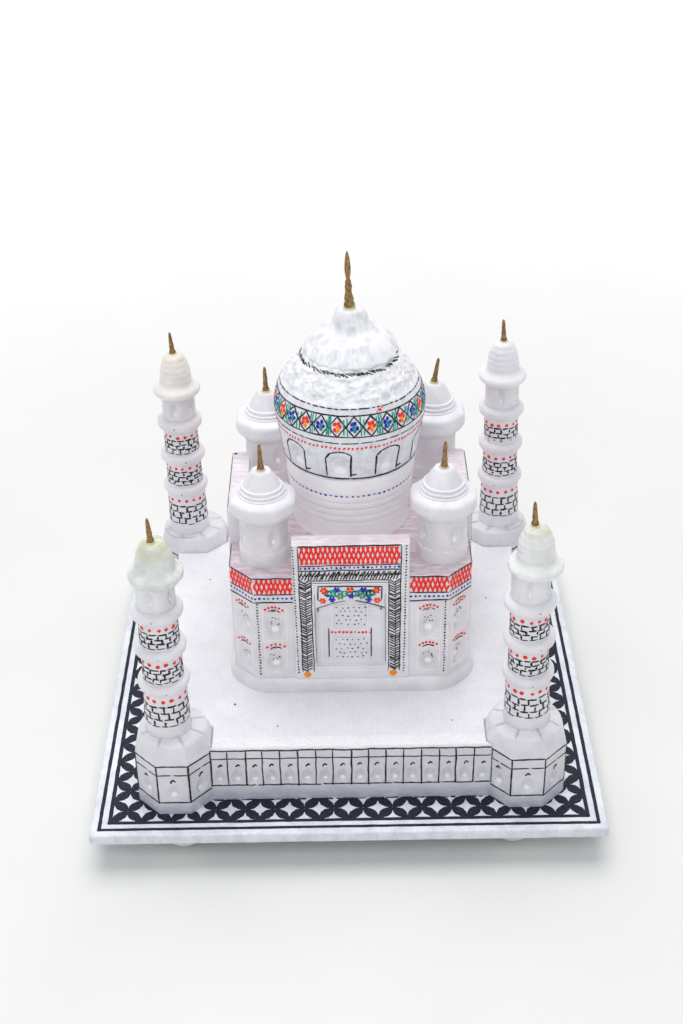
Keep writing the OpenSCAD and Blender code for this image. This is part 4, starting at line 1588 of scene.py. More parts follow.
def niche_marks(face, floor, screens):
    """Pricked dots on the screens, the row of red dots between them, and the scratched frames."""
    pricked = [(cx - 4 + 1.65 * i + (0.8 if j % 2 else 0), 49.4 - 1.5 * j) for i in range(6) for j in range(5)]
    dot_row(fine, screens, [p for p in pricked if p[0] < cx + 4.6], 0.60, 0.28, 0.8)
    pricked = [(cx - 4.2 + 1.6 * i + (0.8 if j % 2 else 0), 37.6 - 1.6 * j) for i in range(6) for j in range(5)]
    dot_row(fine, screens, [p for p in pricked if p[0] < cx + 4.9], 0.60, 0.28, 0.8)
    dot_row(red, floor, row(cx - 5.6, cx + 5.8, 40.2, 40.0, 1.12), 0.78, 0.1, 1.1)
    for x in (-6.5, 6.1):
        ruled(black, floor, cx + x, cx + x, 41.8, 30.9, 0.42, 0.05)
    arch = [(cx + 0.97 * x, z + 0.35) for x, z in arch_outline(0.0)[2:]]
    black.stroke(face, arch[:7], 0.38, shake=0.05, step=0.5)
    fine.stroke(face, arch[8:], 0.20, shake=0.04, step=0.5)
    scored(floor, cx - 8.6, cx + 8.4, 29.2, 48.6)
    scored(floor, cx - 5.5, cx + 5.0, 41.2, 50.5)
    scored(floor, cx - 6.1, cx + 5.4, 29.8, 38.8)
    scored(face, cx - 10.9, cx + 10.9, 26.9, 58.6)


# The count holds the painted highlights in the windows as well as the scratched lines.
print("bruises and scratches so far:", dust_and_highlights.count)

# %% Painting the four portals
for side in range(4):
    face, floor = side_panel(side), side_panel(side, NICHE["deep"])
    portal_frame(face)
    arch_lines(face, floor)
    arch_flowers(face)
    niche_marks(face, floor, side_panel(side, NICHE["deep"] - 0.32))
roof_face = Panel((0, 0, portal_high[2]), (1, 0, 0), (0, 1, 0))
black.dot(roof_face, TOMB[0] - FACE + 1.0, TOMB[1] + PORTAL_HALF - 0.9, 1.3, 0.8)
for brush in (black, fine, red, blue, teal, orange, dust_and_highlights):
    brush.lay()
print("the building is painted, on", len(SIDES), "sides")


# %% [markdown]
# ## The drum and the dome
# Both were turned on a lathe as one run of rings, and then worked by hand. The lower part carries arches over
# shallow dimples, the belt is painted, and the crown is covered with small staggered cuts; their sparkle is
# painted highlights and painted shade. Each kind of cut is a row of shallow hollows in the turned surface, so
# they go round evenly but not exactly.

# %% The drum
AXIS_FOOT = (AXIS[0], AXIS[1], TOP)
UP = (0, 0, 1)
RINGS_FROM, RING_RISE, RING_STEP = 67.4, 2.45, 0.34


def loose(seed, size, climb=0.9):
    """A slow unevenness of a turned surface, different at each height."""
    a, b = wobble(seed, 5, 1, 5), wobble(seed + 1, 7, 4, 17)
    return lambda t, h: size * (0.6 * a(t + 0.05 * climb * h) + 0.4 * b(t - 0.11 * climb * h))


foot = span("drum")[0][2] - TOP
drum_side = [(foot, 17.7), (foot + 1.4, 17.45), (66.6, 17.6)]
for k in range(4):
    z, r = RINGS_FROM + k * RING_RISE, 18.0 + k * RING_STEP
    drum_side += [
        (z, r - 0.65), (z + 0.25, r - 0.2), (z + 0.6, r + 0.04), (z + 1.7, r + 0.04), (z + 2.15, r - 0.12)
    ]
drum_side += [(77.4, 19.05), (78.0, 19.28), (82.4, 19.36), (82.9, 19.3), (83.0, 19.0)]
drum_side = np.array(drum_side)
drum = Turned(AXIS_FOOT, UP, drum_side[:, 0], drum_side[:, 1], loose(101, 0.07))
heights = np.unique(np.concatenate([drum_side[:, 0], rows((foot, 83, 0.45))]))
points, faces = stack(drum.rings(heights, 180))
add_piece("drum_rings", points, faces, "monument", DRUM_STONE, ["drum"], crease=60)
print("drum", len(faces), "faces")

# %% The dome with its hollows
ARCHES = 9
ARCH_FROM, ARCH_STEP = -49.0, 40.0
dome_curve = fair(
    [(83.0, 19.4), (83.6, 19.85), (86, 20.35), (90, 20.95), (94, 21.6), (98, 22.25), (102, 22.1), (106, 20.8),
     (110, 18.8), (113.6, 15.9), (115.6, 14.1), (117.2, 12.5)], 5,
)
hollows = [(ARCH_FROM + k * ARCH_STEP, 88.6, 8.6, 3.8, 1.25) for k in range(ARCHES)]
dice = random.Random(105)
for n, z in enumerate(np.arange(108.6, 116.8, 1.55)):
    around = int(2 * math.pi * np.interp(z, dome_curve[:, 0], dome_curve[:, 1]) / 3.5)
    for k in range(around):
        angle = 360 * (k + 0.5 * (n % 2)) / around + dice.uniform(-1.5, 1.5)
        wide = dice.uniform(0.55, 0.75) * 360 / around
        hollows.append(
            (angle, z + dice.uniform(-0.2, 0.2), wide, dice.uniform(0.9, 1.25), dice.uniform(0.55, 0.85))
        )
dome = Turned(AXIS_FOOT, UP, dome_curve[:, 0], dome_curve[:, 1], loose(106, 0.10), hollows)
heights = rows((83.0, 84.0, 0.25), (84.0, 107.0, 0.5), (107.0, 117.2, 0.3))
points, faces = stack(dome.rings(heights, 400))
add_piece("dome_shell", points, faces, "monument", DOME_STONE, ["dome"], crease=70)
print("dome", len(faces), "faces,", len(hollows), "hollows")

# %% [markdown]
# The crown piece is a separate turned cap. Long scoops run down from its neck and leave a scalloped hem.
# Round each scoop the radius dips as a rounded hollow, with a sharp ridge between two of them.

# %% The scalloped cap
SCALLOPS = 19
cap_mid = middle("dome_cap")[:2]
cap_curve = fair(
    [(115.8, 12.9), (116.1, 13.8), (116.9, 13.95), (119.0, 12.5), (121.2, 10.4), (122.4, 8.3), (123.3, 6.6),
     (124.6, 5.6), (126.2, 5.1), (127.7, 4.55), (128.8, 3.7), (129.2, 2.9)], 5,
)
cap_slow = loose(111, 0.14)


def scallop(t, h):
    """Depth of the long scoops at an angle in radians and a height."""
    fade = np.interp(h, [116.5, 117.4, 120.5, 123.2, 125.5, 129], [0.8, 1.0, 1.0, 0.6, 0.25, 0.05])
    turn = t * SCALLOPS / 2 + 0.5 * np.sin(2 * t) + 0.4 * np.sin(3 * t + 1)
    return -0.78 * fade * np.abs(np.cos(turn)) ** 0.8 + cap_slow(t, h)


cap_surface = Turned((*cap_mid, TOP), UP, cap_curve[:, 0], cap_curve[:, 1], scallop)
points, faces = stack(cap_surface.rings(cap_curve[:, 0], 304))
add_piece("dome_crown", points, faces, "monument", DOME_STONE, ["dome_cap"], crease=60)
print("crown", len(faces), "faces")

# %% [markdown]
# ## Brass
# The finial and the pins are bent brass wire and nail ends with solder knots. The metal is dull, brown in
# the hollows and paler on the worn tips. Amber glue has crept up round the foot of every pin.

# %% Brass, glue and wood
r = Recipe("dull_brass")
dark = r.mask(r.noise(0.9, 4, 0.7), 0.40, 0.62)
tone = r.blend(dark, (0.42, 0.26, 0.105), (0.20, 0.12, 0.048))
spots = r.mask(r.cells(0.5, "Color"), 0.7, 0.95)
tone = r.blend(r.times(spots, 0.3), tone, (0.62, 0.45, 0.24))
BRASS = r.finish(
    Base_Color=tone,
    Metallic=0.75,
    Roughness=r.mask(r.noise(0.6, 3), -0.2, 1.2),
    Normal=r.bump(r.noise(0.45, 4, 0.7), 0.06),
)

r = Recipe("amber_glue")
tint = r.blend(r.mask(r.noise(1.0, 3), 0.35, 0.65), (0.80, 0.72, 0.46), (0.66, 0.58, 0.34))
GLUE_AMBER = r.finish(
    Base_Color=tint,
    Roughness=0.22,
    Normal=r.bump(r.noise(0.8, 2), 0.06),
    Subsurface_Weight=0.4,
    Subsurface_Radius=(1.0, 0.7, 0.35),
    Subsurface_Scale=0.8 * MM,
)

r = Recipe("dowel_wood")
grain = r.mask(r.noise(0.7, 4, 0.6, stretch=(1, 1, 0.08)), 0.35, 0.65)
WOOD = r.finish(
    Base_Color=r.blend(grain, (0.66, 0.47, 0.27), (0.46, 0.29, 0.14)),
    Roughness=0.62,
    Normal=r.bump(r.noise(0.4, 3, 0.6, stretch=(1, 1, 0.08)), 0.05),
)
for node in ["dome_dowel"] + ["dowel_" + corner for corner in CORNERS]:
    frame["nodes"][node].data.materials.clear()
    frame["nodes"][node].data.materials.append(WOOD)
print("brass, glue and wood")

# %% The finial
FINIAL_LEAN = math.radians(1.6)
finial_foot = np.array([AXIS[0] + 0.3, AXIS[1], span("dome_cap")[1][2]])
finial_up = (-math.sin(FINIAL_LEAN), 0, math.cos(FINIAL_LEAN))
finial_curve = fair(
    [(-4.5, 0.6), (0, 0.8), (0.5, 1.45), (1.2, 1.55), (2.0, 1.25), (2.9, 1.35), (3.7, 1.2), (4.6, 0.98),
     (5.6, 0.95), (6.4, 1.05), (7.2, 0.92), (8.2, 0.85), (8.7, 0.60), (9.4, 0.62), (10.8, 0.85), (13.2, 0.86),
     (15.4, 0.62), (16.8, 0.30), (17.3, 0.08)], 3,
)
rough = loose(121, 0.16, 6)


def hammered(t, h):
    """Roughness that fades towards the tip, and the flattened sides of the spear."""
    flat = 0.22 * np.clip((h - 9) / 3, 0, 1) * np.cos(t) ** 2 * np.clip((17 - h) / 3, 0, 1)
    return rough(t, h) * np.interp(h, [0, 8, 17], [1, 0.5, 0.1]) - flat


finial = Turned(finial_foot, finial_up, finial_curve[:, 0], finial_curve[:, 1], hammered)
points, faces = stack(finial.rings(finial_curve[:, 0], 28))
add_piece("finial", points, faces, "monument", BRASS, ["dome_finial"], crease=60)
print("finial", len(faces), "faces")

# %% Glue round a pin


def glue_ring(name, foot, up, body, r_in, r_out, tall, seed):
    """A low uneven collar of glue round the foot of a pin."""
    slow = wobble(seed)
    curve = np.array([
        (-0.5, r_out), (0.0, r_out), (0.4 * tall, 0.85 * r_out), (0.8 * tall, 0.5 * (r_in + r_out)),
        (tall, r_in),
    ])
    lumps = lambda t, h: 0.16 * slow(t) * np.clip(1 - h / tall, 0, 1)
    collar = Turned(foot, up, curve[:, 0], curve[:, 1], lumps)
    points, faces = stack(collar.rings(curve[:, 0], 24))
    add_piece(name, points, faces, body, GLUE_AMBER, crease=60)


glue_ring("glue_finial", finial_foot, finial_up, "monument", 1.2, 1.9, 0.6, 125)
print("the finial is glued in")

# %% A small pin


def pin_piece(name, node, foot, up, body, tall, lean, seed):
    """A tapered pin with a solder knot at its foot."""
    rough = loose(seed, 0.07, 8)
    curve = fair(
        [(-3.4, 0.48), (0, 0.55), (0.25, 0.95), (0.8, 1.08), (1.4, 0.86), (1.9, 0.74), (2.6, 0.80), (3.4, 0.72),
         (0.72 * tall, 0.58), (tall - 0.6, 0.42), (tall, 0.14)], 3,
    )
    tip = np.array(up, float) + np.array(lean)
    pin = Turned(foot, tip / np.linalg.norm(tip), curve[:, 0], curve[:, 1], rough)
    points, faces = stack(pin.rings(curve[:, 0], 16))
    add_piece(name, points, faces, body, BRASS, [node], crease=55)
    glue_ring("glue_" + name, foot, up, body, 0.8, 1.45, 0.45, seed + 50)


print("eight more pins stand on the kiosks and the minarets")


# %% [markdown]
# ## The four roof kiosks
# Each kiosk is a turned drum with four dimples and an eight-sided hat. The hat's eight sides were ground by
# hand, so its corners are soft. Over the eave come three thin steps and a little dome. One rule gives the
# radius all round: near the eave it follows a soft octagon, and above it a circle.

# %% Soft eight-sided rings


def octagon_share(t, soft=18):
    """How far an eight-sided outline of half width 1 stands out at an angle in radians."""
    total = sum(np.abs(np.cos(t - k * math.pi / 4)) ** soft for k in range(8))
    return total ** (-1 / soft) * 1.04


print("a corner stands out", round(octagon_share(math.pi / 8) / octagon_share(0), 3), "times as far as a side")

# %% The four kiosks
KIOSK_H, EAVE_MID, EAVE_HIGH, EAVE_TOP, KIOSK_TIP = 14.6, 17.0, 20.6, 21.6, 29.0
for n, corner in enumerate(CORNERS):
    low, high = span("kiosk_body_" + corner)
    roof_low, roof_high = span("kiosk_roof_" + corner)
    mid = (low + high)[:2] / 2
    foot = (*mid, low[2])
    tall = high[2] - low[2]
    curve = np.array(
        [
            (0, 7.55), (0.4, 7.42), (3.9, 7.38), (4.25, 7.2), (4.45, 7.06), (5.2, 7.1), (tall - 0.8, 7.08),
            (tall, 7.0)
        ]
    )
    dimples = [(a, 9.3, 15, 3.3, 0.85) for a in (-62, 28, 118, 208)]
    dimples += [(a, 8.4, 7, 1.5, 0.35) for a in (-62, 28, 118, 208)]
    body = Turned(foot, UP, curve[:, 0], curve[:, 1], loose(131 + n, 0.10), dimples)
    heights = np.unique(np.concatenate([curve[:, 0], rows((5.2, 13.4, 0.4), (0, 5, 1.0))]))
    heights = heights[heights <= tall]
    points, faces = stack(body.rings(heights, 120))
    add_piece(
        "kiosk_drum_" + corner, points, faces, "monument", KIOSK_STONE, ["kiosk_body_" + corner],
        60
    )

    # A painted highlight in each dimple, and broken white lines along the band under the dimples.
    kiosk_dust_and_highlights = Brush("kiosk_highlights_and_lines_" + corner, "white_dust_and_highlights", slot="white_stone", seed=161 + n)
    for a in (-62, 28, 118, 208):
        kiosk_dust_and_highlights.highlight_oval(body, a + 1, 7.7, 6.5, 0.95)
        kiosk_dust_and_highlights.stroke(body, [(a - 30, 4.35), (a - 4, 4.25)], 0.26, 0.06, 0.8, 0.5)
        kiosk_dust_and_highlights.stroke(body, [(a + 10, 4.3), (a + 34, 4.4)], 0.22, 0.06, 0.8, 0.5)
    kiosk_dust_and_highlights.lay()

    k = (roof_high[2] - roof_low[2]) / (KIOSK_TIP - KIOSK_H)
    base = np.array([mid[0], mid[1], roof_low[2]])
    z = lambda h: (h - KIOSK_H) * k
    hat = [
        (z(KIOSK_H), 7.7), (z(KIOSK_H + 0.5), 8.3), (z(16.3), 9.2), (z(EAVE_MID), 9.6),
        (z(EAVE_MID + 0.6), 9.72),
        (z(19.9), 9.66), (z(EAVE_HIGH), 9.35), (z(21.1), 8.7), (z(EAVE_TOP), 7.75), (z(21.72), 7.3),
        (z(22.1), 7.25),
    ]
    for r0, h0 in ((6.7, 22.4), (6.1, 23.4)):
        hat += [(z(h0 - 0.05), r0 - 0.1), (z(h0 + 0.2), r0 + 0.03), (z(h0 + 0.7), r0)]
    hat += [(z(24.25), 6.05), (z(24.4), 5.5), (z(25.2), 5.05), (z(26.4), 4.4), (z(27.5), 3.7), (z(28.5), 3.05)]
    hat += [(z(28.8), 2.85), (z(29.0), 2.5)]
    hat = np.array(hat)
    slow = loose(141 + n, 0.16)
    eave_h = z(EAVE_TOP)

    def ground(t, h, hat=hat, slow=slow, eave_h=eave_h):
        share = np.clip((eave_h + 0.4 - h) / 1.0, 0, 1) * np.clip(h / 0.8, 0.25, 1)
        return np.interp(h, hat[:, 0], hat[:, 1]) * share * (octagon_share(t) - 1) * 0.92 + slow(t, h)

    roof = Turned(base, UP, hat[:, 0], hat[:, 1], ground)
    heights = np.unique(np.concatenate([hat[:, 0], np.linspace(0, hat[-1, 0], 36)]))
    points, faces = stack(roof.rings(heights, 144))
    add_piece(
        "kiosk_hat_" + corner, points, faces, "monument", WHITE_STONE, ["kiosk_roof_" + corner],
        38
    )
    lean = {"back_right": (0.16, 0, 0), "front_right": (0.03, 0, 0)}.get(corner, (-0.02, 0, 0))
    tip = np.array([mid[0], mid[1], roof_high[2]])
    rise = span("kiosk_pin_" + corner)[1][2] - tip[2]
    pin_piece("kiosk_needle_" + corner, "kiosk_pin_" + corner, tip, UP, "monument", rise, lean, 151 + n)
print("kiosks done")

# %% [markdown]
# ## Painting the dome
# From the bottom up: a row of blue dots on the drum, a heavy ring, arches with short base ticks, a row of
# slanting red dots, broken rings, and the belt of crossed lines with flowers and green leaves. Right under
# the crown piece goes a ring of slanting dashes like a rope.

# %% A ring all the way round
dice = random.Random(171)
black = Brush("dome_ink", "black_ink", slot="dome_stone", seed=172)
red = Brush("dome_red", "red_paint", slot="dome_stone", seed=173)
blue = Brush("dome_blue", "blue_paint", slot="dome_stone", seed=174)
teal = Brush("dome_teal", "teal_paint", slot="dome_stone", seed=175)
orange = Brush("dome_orange", "orange_paint", slot="dome_stone", seed=176)


def ring_line(brush, surface, z, wide, dash=None, gap=0.0, wave=0.12, seed=1):
    """A line all the way round, or broken into dashes (shortest, longest) in degrees."""
    slow = wobble(seed)
    start = -180.0
    while start < 180:
        end = min(180.0, start + (dice.uniform(*dash) if dash else 60))
        path = [(a, z + wave * slow(math.radians(a))) for a in np.linspace(
            start, end, max(3, int((end - start) / 2))
        )]
        brush.stroke(surface, path, wide, shake=0.05, step=0.6)
        start = end + (dice.uniform(0.4, 1.0) * gap if dash else 0)


print("the dome's paints:", [brush.ink for brush in (black, red, blue, teal, orange)])

# %% Rings, dots and arches
ring_line(black, dome, 84.15, 0.60, seed=1)
ring_line(black, dome, 97.1, 0.38, (4, 16), 1.6, seed=2)
ring_line(black, dome, 99.2, 0.42, seed=3)
ring_line(black, dome, 105.35, 0.46, seed=4)
ring_line(black, dome, 107.2, 0.40, (2, 10), 1.6, seed=5)
dot_row(blue, drum, [(a, 77.4) for a in np.arange(-180, 180, 4.9)], 0.85, 0.1)
for a in np.arange(-180, 180, 3.43):
    red.dot(
        dome, a + dice.uniform(-0.4, 0.4), 95.25 + dice.uniform(-0.15, 0.15), 0.72, 1.5, dice.uniform(-45, -15)
    )
for k in range(ARCHES):
    c = ARCH_FROM + ARCH_STEP * k + dice.uniform(-1, 1)
    w = 10.6 + dice.uniform(-0.6, 0.6)
    path = [
        (c - w, 84.9), (c - w, 91.2 + dice.uniform(-0.4, 0.6)), (c - 0.6 * w, 93.3), (c, 94.0),
        (c + 0.55 * w, 93.7),
        (c + w, 92.6 + dice.uniform(-0.4, 0.4)), (c + 0.93 * w, 84.9),
    ]
    for a, b in zip(path, path[1:]):
        black.stroke(dome, [a, b], dice.uniform(0.46, 0.62), shake=0.05, step=0.5)
    black.stroke(
        dome, [(c + w - 0.4, 85.5), (c + w + 4.4, 85.9 + dice.uniform(-0.2, 0.3))], 0.6, shake=0.08, step=0.5
    )
print("arches:", ARCHES)

# %% The belt and the rope
BELT = 28
for k in range(BELT):
    c, w = 360 * k / BELT + 3, 360 / BELT
    for z0, z1 in ((99.3, 105.3), (105.3, 99.3)):
        black.stroke(
            dome, [(c, z0), (c + w / 2, 102.35), (c + w, z1)], dice.uniform(0.38, 0.58), shake=0.1, step=0.5
        )
    main = (red, orange) if k % 2 else (blue, teal)
    for i in range(5):
        a = math.radians(72 * i + dice.uniform(-15, 15))
        brush = main[0] if i < 4 else main[1]
        brush.dot(dome, c + 2.3 * math.cos(a), 102.3 + 1.15 * math.sin(a), 1.15, 1.3, dice.uniform(-60, 60))
    main[1].dot(dome, c + dice.uniform(-0.5, 0.8), 102.3, 1.25)
    for shift in (-1.7, 0.1, 1.9) if k % 3 else (-1.0, 1.2):
        a = c + w / 2 + shift + dice.uniform(-0.3, 0.3)
        z0, z1 = 99.7 + dice.uniform(-0.7, 0.6), 105.0 + dice.uniform(-0.9, 0.5)
        teal.stroke(
            dome, [(a, z0), (a + dice.uniform(-0.6, 0.6), z1)], dice.uniform(0.36, 0.56), shake=0.08, step=0.5
        )
for a in np.arange(-180, 180, 4.6):
    a += dice.uniform(-0.6, 0.6)
    if dice.random() < 0.06:
        continue
    z = 114.9 + dice.uniform(-0.15, 0.15)
    black.stroke(
        dome, [(a - 4.4, z + 0.42), (a + 4.4, z - 0.36)], dice.uniform(0.30, 0.46), shake=0.04, step=0.4
    )
for a, z, size in ((24.0, 106.3, 0.95), (21.6, 105.9, 0.45), (26.2, 106.9, 0.5)):
    red.dot(dome, a, z, size, 1.4, 60)
print("the belt has", BELT, "flowers")

# %% Painted highlights on the cuts, in the arches' dimples and on the crown's ridges
dust_and_highlights = Brush("dome_highlights", "white_dust_and_highlights", slot="dome_stone", seed=177)
for a, z, wide, tall, depth in hollows[ARCHES:]:
    if dust_and_highlights.dice.random() < 0.8:
        a, z = a + 0.85 * wide, z + dust_and_highlights.dice.uniform(-0.4, 0.1)
        tilt = dust_and_highlights.dice.uniform(-0.45, 0.45)
        long = dust_and_highlights.dice.uniform(0.9, 2.6)
        dust_and_highlights.stroke(
            dome, [(a - long, z - tilt), (a + long, z + tilt)], dust_and_highlights.dice.uniform(0.22, 0.42), 0.06, 0.4, 0.6
        )
        if dust_and_highlights.dice.random() < 0.5:
            dust_and_highlights.stroke(
                dome, [(a, z - 0.55), (a + dust_and_highlights.dice.uniform(-0.5, 0.5), z + 0.5)], 0.28, 0.05, 0.3, 0.5
            )
for k in range(ARCHES):
    dust_and_highlights.highlight_oval(dome, ARCH_FROM + ARCH_STEP * k, 86.6, 5.2, 1.15)
for k in range(3 * SCALLOPS):
    a, z = 360 * k / (3 * SCALLOPS) + dust_and_highlights.dice.uniform(-2, 2), dust_and_highlights.dice.uniform(116.8, 119.0)
    rise = dust_and_highlights.dice.uniform(1.2, 3.2)
    dust_and_highlights.stroke(
        cap_surface, [(a, z), (a + dust_and_highlights.dice.uniform(-1, 1), z + rise)], dust_and_highlights.dice.uniform(0.14, 0.26), 0.05,
        0.5, 0.5
    )
for brush in (black, red, blue, teal, orange, dust_and_highlights):
    brush.lay()
print("cuts that sparkle:", len(hollows) - ARCHES)


# %% [markdown]
# ## The minarets
# A minaret is not glued in: it lifts off its tower on a wooden dowel. It is turned in three stages, each with
# a rounded ring balcony, and carries a lantern with thumb-like hollows and a separate milky cap. No two are
# alike, because each was turned by eye. Everything rides on the minaret's own body, the paint too.

# %% Stage profile
RIMS = (17.7, 29.7, 42.1)
STAGES = ((6.45, 6.2, 5.8), (5.8, 5.7, 5.65), (5.65, 5.55, 5.5))
LANTERN_RISE = 1.3
CAPS = {
    "front_left": dict(seed=201, rough=0.42, stone=None, broad=0.25, nudge=1.3, lean=-0.05),
    "front_right": dict(seed=202, rough=0.18, stone=None, broad=0.0, nudge=0.0, lean=-0.03),
    "back_left": dict(seed=203, rough=0.16, stone=None, broad=0.0, nudge=0.6, lean=-0.06),
    "back_right": dict(seed=204, rough=0.10, stone=None, broad=0.0, nudge=0.0, lean=-0.04),
}
OLIVE, CREAM = (0.60, 0.58, 0.28), (0.80, 0.70, 0.52)
tops = {c: span("cap_" + c)[1][2] - TOP for c in CORNERS}
CAPS["front_left"]["stone"] = stone(
    "greenish_cap", (0.80, 0.83, 0.80), (0.67, 0.71, 0.68), depth=0.5, rough=0.22, cloud_mm=4.0,
    wash=(OLIVE, tops["front_left"] - 6, tops["front_left"], 0.75),
)
CAPS["front_right"]["stone"] = stone(
    "misty_cap", (0.87, 0.88, 0.875), (0.79, 0.80, 0.79), depth=0.5, rough=0.26, cloud_mm=4.0,
    wash=(OLIVE, tops["front_right"] - 4, tops["front_right"], 0.6),
)
CAPS["back_left"]["stone"] = stone(
    "cream_cap", (0.90, 0.87, 0.84), (0.83, 0.79, 0.75), depth=0.45, rough=0.32,
    wash=(CREAM, tops["back_left"] - 5, tops["back_left"], 0.6),
)
CAPS["back_right"]["stone"] = stone("snow_cap", (0.88, 0.87, 0.90), (0.82, 0.80, 0.84), depth=0.4, rough=0.34)


def shaft_curve(k):
    """(height, radius) points of a shaft whose heights are stretched by k."""
    curve = [(0.0, 6.75), (0.5, 6.62), (4 * k, 6.5)]
    for rim, (start, below, above) in zip(RIMS, STAGES):
        z = rim * k
        curve += [
            (z - 3.4, below), (z - 2.8, below + 0.12), (z - 2.35, below + 0.65), (z - 1.95, 7.0),
            (z - 1.45, 7.3),
            (z - 0.7, 7.42), (z, 7.36), (z + 0.45, 7.12), (z + 0.8, 6.65), (z + 0.98, above + 0.35),
            (z + 1.25, above),
        ]
    return fair(curve, 2)


print("balcony rims at", RIMS, "mm")

# %% Brickwork


def bricks(brush, surface, z0, z1, around=13):
    """Three courses of brickwork, drawn with short broken strokes."""
    courses = 3
    rise = (z1 - z0) / courses
    for n in range(courses + 1):
        z = z0 + n * rise
        a = -180.0
        while a < 180:
            step = 360 / around * brush.dice.uniform(0.75, 1.1)
            wide = 0.34 if n == 0 else brush.dice.uniform(0.46, 0.70)
            lift = brush.dice.uniform(-0.22, 0.22)
            path = [(a, z + lift), (a + step * 0.86, z + lift + brush.dice.uniform(-0.2, 0.2))]
            brush.stroke(surface, path, wide, 0.06, 0.6)
            a += step
        if n == courses:
            break
        for i in range(around):
            a = 360 * (i + 0.5 * (n % 2) + brush.dice.uniform(-0.16, 0.16)) / around
            low, high = z + brush.dice.uniform(0.0, 0.4), z + rise * brush.dice.uniform(0.75, 1.05)
            path = [(a, low), (a + brush.dice.uniform(-2, 2), high)]
            brush.stroke(surface, path, brush.dice.uniform(0.46, 0.72), 0.05, 0.5)
            if brush.dice.random() < 0.5:
                brush.stroke(surface, [(a - 3.5, z + rise * 0.55), (a + 3.5, z + rise * 0.5)], 0.46, 0.06, 0.5)


print("brickwork has three courses")

# %% The shaft
GROOVE_RISES, GROOVE_DEPTH = (2.0, 2.9), 0.16  # two fine grooves over each balcony, on one minaret only


def minaret_shaft(n, corner, seat, up, k):
    """Turns one shaft and gives its surface back for the paint."""
    curve = shaft_curve(k)
    grooves = [rim * k + d for rim in RIMS for d in GROOVE_RISES] if corner == "back_right" else []
    slow = loose(211 + n, 0.09)

    def uneven(t, h):
        r = slow(t, h)
        for z in grooves:
            r = r - GROOVE_DEPTH * np.exp(-(((h - z) / 0.22) ** 2))
        return r

    shaft = Turned(seat, up, curve[:, 0], curve[:, 1], uneven)
    heights = np.unique(np.concatenate([curve[:, 0], np.arange(0, curve[-1, 0], 0.8)]))
    points, faces = stack(shaft.rings(heights, 112))
    nodes = ["shaft_" + corner]
    add_piece(
        "minaret_shaft_" + corner, points, faces, "minaret_" + corner, WHITE_STONE, nodes,
        crease=60
    )
    return shaft


print("an unstretched shaft is", shaft_curve(1)[-1, 0], "mm tall")

# %% The lantern
LANTERN_TALL = 8.2
LANTERN_SIDES = np.arange(-10, 350, 72)


def minaret_lantern(n, corner, foot, up):
    """Turns one lantern with its thumb-like hollows and gives its surface back for the paint."""
    thumb = [(a, 4.3, 15, 3.2, 0.85) for a in LANTERN_SIDES] + [(a, 5.2, 7, 1.2, 0.4) for a in LANTERN_SIDES]
    heights, radii = [-0.2, 0, 0.4, LANTERN_TALL - 0.4, LANTERN_TALL], [5.4, 5.7, 5.45, 5.5, 5.5]
    lamp = Turned(foot, up, heights, radii, loose(221 + n, 0.12), thumb)
    points, faces = stack(lamp.rings(rows((-0.2, LANTERN_TALL + 0.01, 0.35)), 112))
    nodes = ["lantern_" + corner]
    add_piece(
        "minaret_lantern_" + corner, points, faces, "minaret_" + corner, MILKY_STONE, nodes, 60
    )
    return lamp


print("a lantern has", len(LANTERN_SIDES), "hollows")

# %% The cap and its pin


def minaret_cap(corner, seat, up, foot_z):
    """Turns one cap. Each cap is as tall as its CAD node, and gives its height back."""
    facts = CAPS[corner]
    low, high = span("cap_" + corner)
    foot = np.array([(low[0] + high[0]) / 2 + 0.5 * up[0], seat[1], foot_z])
    h, w = (high[2] - low[2]) * 0.995, facts["broad"]
    hat = fair(
        [(-0.05, 6.0), (0.1, 6.5), (0.7, 7.25), (1.4, 7.75), (2.3, 7.7), (3.0, 7.25), (3.6, 6.4),
         (4.3, 5.6 + w), (5.0, 5.3 + w), (0.5 * h, 5.1 + w), (0.68 * h, 4.7 + w), (0.84 * h, 3.9 + w),
         (0.95 * h, 3.05 + w), (h, 2.1 + w)], 3,
    )
    rough = loose(facts["seed"], facts["rough"], 2.2)
    steps = loose(facts["seed"] + 5, 0.06, 3)

    def carved(t, z):
        r = rough(t, z) * np.interp(z, [0, 3, 5, h], [0.7, 1.0, 0.9, 0.6])
        if corner != "front_left":
            r = r + 0.07 * np.sin(z * 3.4) * np.clip((z - 4) / 2, 0, 1) + steps(t, z)
        return r

    cap = Turned(foot, up, hat[:, 0], hat[:, 1], carved)
    heights = np.unique(np.concatenate([hat[:, 0], np.arange(0, h, 0.4)]))
    points, faces = stack(cap.rings(heights, 120))
    nodes = ["cap_" + corner]
    add_piece(
        "minaret_cap_" + corner, points, faces, "minaret_" + corner, facts["stone"], nodes, 60
    )
    return h


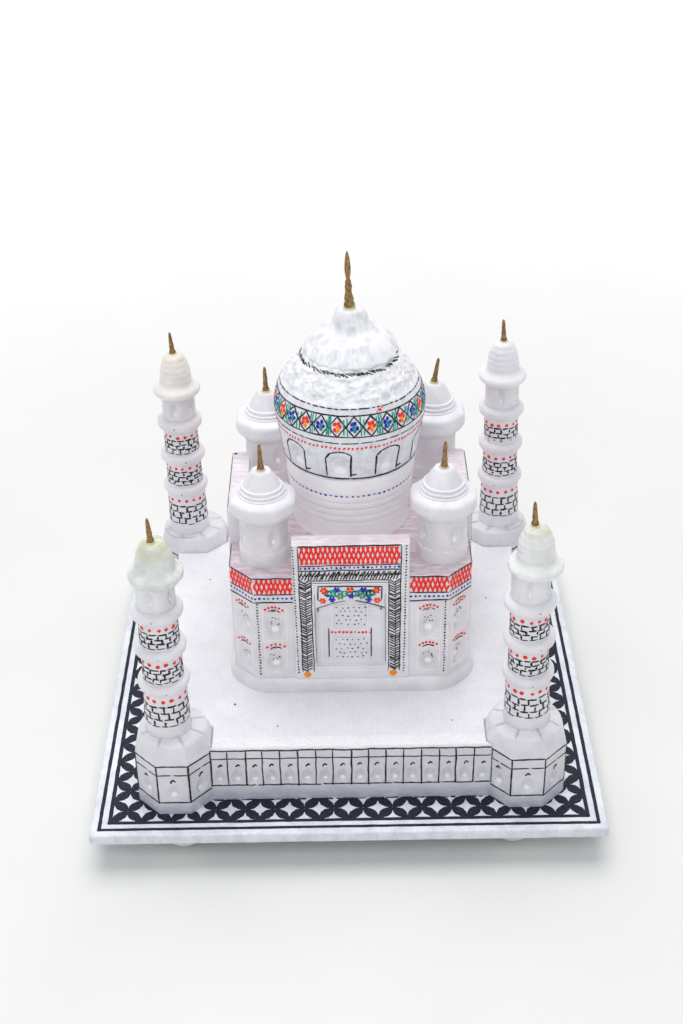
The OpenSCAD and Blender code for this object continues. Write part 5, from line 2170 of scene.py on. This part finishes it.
def minaret_pin(n, corner, up):
    """Stands one pin in the tip of its cap."""
    low, high = span("pin_" + corner)
    tip_z = span("cap_" + corner)[1][2]
    foot = np.array([(low[0] + high[0]) / 2 + CAPS[corner]["nudge"], (low[1] + high[1]) / 2, tip_z - 0.1])
    lean = (CAPS[corner]["lean"], 0, 0)
    name, node = "minaret_needle_" + corner, "pin_" + corner
    pin_piece(name, node, foot, up, "minaret_" + corner, high[2] - tip_z + 0.1, lean, 231 + n)


print("caps:", list(CAPS))

# %% The paint
COURSES = ((4.2, 11.0, 13.1, 15), (19.3, 24.0, 25.4, 14), (31.4, 36.1, 37.5, 14))


def minaret_paint(n, corner, shaft, lamp, k):
    """Brickwork, red dots and specks on the shaft, and painted highlights in the lantern's hollows."""
    body = "minaret_" + corner
    ink = Brush("minaret_ink_" + corner, "black_ink", body, "white_stone", 241 + n)
    dots = Brush("minaret_red_" + corner, "red_paint", body, "white_stone", 251 + n)
    for z0, z1, z_dots, around in COURSES:
        bricks(ink, shaft, z0 * k, z1 * k)
        shift = ink.dice.uniform(0, 24)
        for i in range(around):
            a = 360 * i / around + shift + ink.dice.uniform(-3, 3)
            dots.dot(shaft, a, z_dots * k + ink.dice.uniform(-0.25, 0.25), ink.dice.uniform(1.1, 1.5), 1.0)
    for a, z in ((-9, 16.4), (14, 28.9), (2, 41.6)):
        ink.dot(shaft, a + ink.dice.uniform(-20, 20), z * k, ink.dice.uniform(0.3, 0.5))
    dust_and_highlights = Brush("minaret_highlights_" + corner, "white_dust_and_highlights", body, "milky_stone", 261 + n)
    for a in LANTERN_SIDES:
        dust_and_highlights.highlight_oval(lamp, a + 1, 2.7, 4.5, 0.95)
    for brush in (ink, dots, dust_and_highlights):
        brush.lay()


print("rows of brickwork on a minaret:", len(COURSES))

# %% The four minarets
for n, corner in enumerate(CORNERS):
    seat, up = seat_of(corner)
    k = ((span("lantern_" + corner)[0][2] - seat[2]) / up[2] - LANTERN_RISE) / RIMS[2]
    k = 1.0 if k < 1.02 else k
    lantern_z = RIMS[2] * k + LANTERN_RISE
    shaft = minaret_shaft(n, corner, seat, up, k)
    lamp = minaret_lantern(n, corner, seat + lantern_z * up, up)
    tall = minaret_cap(corner, seat, up, (seat + (lantern_z + LANTERN_TALL) * up)[2])
    minaret_pin(n, corner, up)
    minaret_paint(n, corner, shaft, lamp, k)
    print("minaret_" + corner, "stretch", round(k, 3), "cap", round(tall, 1), "mm")
